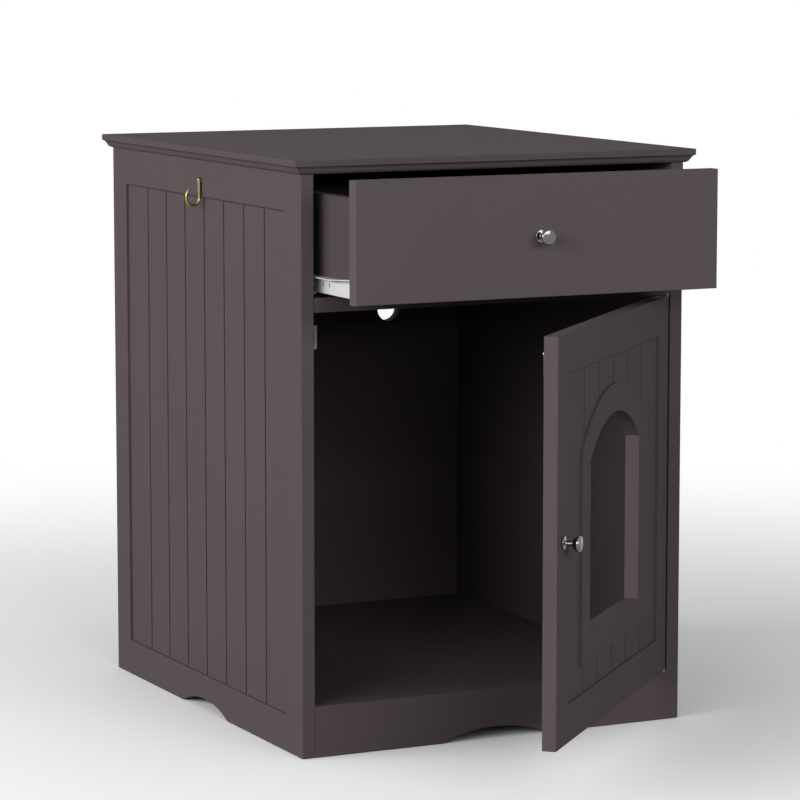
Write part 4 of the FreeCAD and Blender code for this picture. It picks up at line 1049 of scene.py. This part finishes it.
def make_world():
    """A world that looks white and gives only a little light."""
    world = bpy.data.worlds.new("studio")
    bpy.context.scene.world = world
    world.use_nodes = True
    tree = world.node_tree
    background = tree.nodes["Background"]
    background.inputs["Color"].default_value = (1, 1, 1, 1)
    strength = spread(tree, clear_view(tree), WORLD_FILL, BACKDROP, 0, 1)
    tree.links.new(strength, background.inputs["Strength"])


make_world()
print("world:", bpy.context.scene.world.name, "with a fill of", WORLD_FILL)

# %% Soft boxes
BOX_DISTANCE = 4.0
BOX_TILT = 0.5
# name, degrees to the right of straight in front, height of its middle, width, height,
# how bright its face is, and whether it shows in reflections
SOFT_BOXES = [
    ("side box", -80, 1.65, 6.6, 1.30, 8.2, True),
    ("front box", 4, 1.65, 3.4, 1.20, 6.7, True),
    ("rear fill", 165, 0.60, 2.4, 1.20, 4.0, False),
]


def soft_box(name, bearing, height, width, tall, brightness, reflected):
    """A soft box that stands round the cabinet and faces its middle."""
    data = bpy.data.lights.new(name, "AREA")
    data.shape = "RECTANGLE"
    data.size = width
    data.size_y = tall
    data.energy = brightness * math.pi * width * tall
    lamp = bpy.data.objects.new(name, data)
    bpy.context.scene.collection.objects.link(lamp)
    low, high = cad_box
    middle = (Vector(low) + Vector(high)) / 2
    turned = math.radians(bearing)
    away = Vector((math.sin(turned), -math.cos(turned), 0)) * BOX_DISTANCE
    lamp.location = (middle.x + away.x, middle.y + away.y, height)
    facing = middle - lamp.location
    facing.z *= BOX_TILT
    lamp.rotation_mode = "QUATERNION"
    lamp.rotation_quaternion = facing.to_track_quat("-Z", "Y")
    lamp.visible_camera = False
    lamp.visible_glossy = reflected
    return lamp


lamps = [soft_box(*row) for row in SOFT_BOXES]
print("soft boxes:", [(lamp.name, round(lamp.data.energy)) for lamp in lamps])

# %% Floor
FLOOR_REACH = 60.0
FLOOR_DROP = 0.6 * MM
FLOOR_PLAIN = 0.2
FLOOR_SEEN = 0.9
FLOOR_GLOW = 0.3
GLOW_REACH = 0.35
FADE_START = 0.42
FADE_END = 1.9


def floor_middle():
    """The middle of the cabinet's foot."""
    low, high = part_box("floor_panel")
    return ((low.x + high.x) / 2, (low.y + high.y) / 2, -FLOOR_DROP)


def floor_finish():
    """A white floor that keeps a shadow near the cabinet and is pure white far away."""
    finish, tree, shader = start_finish("studio floor", (FLOOR_PLAIN,) * 3 + (1,), roughness=0.9)
    shader.inputs["Specular IOR Level"].default_value = 0.0
    seen = clear_view(tree)
    level = spread(tree, seen, FLOOR_PLAIN, FLOOR_SEEN, 0, 1)
    shade = tree.nodes.new("ShaderNodeCombineColor")
    for channel in ("Red", "Green", "Blue"):
        tree.links.new(level, shade.inputs[channel])
    tree.links.new(shade.outputs["Color"], shader.inputs["Base Color"])
    openness = tree.nodes.new("ShaderNodeAmbientOcclusion")
    openness.inputs["Distance"].default_value = GLOW_REACH
    glow = maths(tree, "MULTIPLY", openness.outputs["AO"], FLOOR_GLOW)
    shader.inputs["Emission Color"].default_value = (1, 1, 1, 1)
    tree.links.new(maths(tree, "MULTIPLY", glow, seen), shader.inputs["Emission Strength"])
    place = tree.nodes.new("ShaderNodeTexCoord")
    distance = tree.nodes.new("ShaderNodeVectorMath")
    distance.operation = "DISTANCE"
    distance.inputs[1].default_value = floor_middle()
    tree.links.new(place.outputs["Object"], distance.inputs[0])
    far = spread(tree, distance.outputs["Value"], 0, 1, FADE_START, FADE_END, soft=True)
    white = tree.nodes.new("ShaderNodeEmission")
    white.inputs["Strength"].default_value = BACKDROP
    blend = tree.nodes.new("ShaderNodeMixShader")
    tree.links.new(maths(tree, "MULTIPLY", far, seen), blend.inputs[0])
    tree.links.new(shader.outputs[0], blend.inputs[1])
    tree.links.new(white.outputs[0], blend.inputs[2])
    tree.links.new(blend.outputs[0], tree.nodes["Material Output"].inputs["Surface"])
    return finish


def make_floor():
    """A wide flat floor, a hair under the cabinet's feet."""
    corners = [(-1, -1), (1, -1), (1, 1), (-1, 1)]
    spots = [(x * FLOOR_REACH, y * FLOOR_REACH, -FLOOR_DROP) for x, y in corners]
    mesh = bpy.data.meshes.new("floor")
    mesh.from_pydata(spots, [], [(0, 1, 2, 3)])
    floor = bpy.data.objects.new("floor", mesh)
    bpy.context.scene.collection.objects.link(floor)
    mesh.materials.append(floor_finish())
    return floor


floor = make_floor()
print("floor:", 2 * FLOOR_REACH, "m wide,", FLOOR_DROP, "m under the cabinet")

# %% [markdown]
# ## The camera
#
# The camera's place was worked out from the cabinet's own edges in the photograph: a long lens
# far away, a little above the cabinet, looking across it from the front left.

# %% Camera
CAMERA_PLACE = Vector((-1.74537, -3.86976, 0.86805))
CAMERA_YAW = math.radians(26.02)
CAMERA_PITCH = math.radians(7.52)
LENS_MM = 159.09
SENSOR_MM = 36.0

camera_data = bpy.data.cameras.new("camera")
camera_data.lens = LENS_MM
camera_data.sensor_width = SENSOR_MM
camera = bpy.data.objects.new("camera", camera_data)
bpy.context.scene.collection.objects.link(camera)
camera.location = CAMERA_PLACE
camera.rotation_euler = (math.pi / 2 - CAMERA_PITCH, 0, -CAMERA_YAW)
bpy.context.scene.camera = camera

scene = bpy.context.scene
scene.view_settings.view_transform = "Standard"
print("camera:", LENS_MM, "mm lens at", [round(v, 3) for v in CAMERA_PLACE])

# %% [markdown]
# ## Measure and finish
#
# We print the outer box of the bare cabinet, which we noted when it was loaded.

# %% Finish
print("CAD box:", [tuple(round(v, 4) for v in c) for c in cad_box])
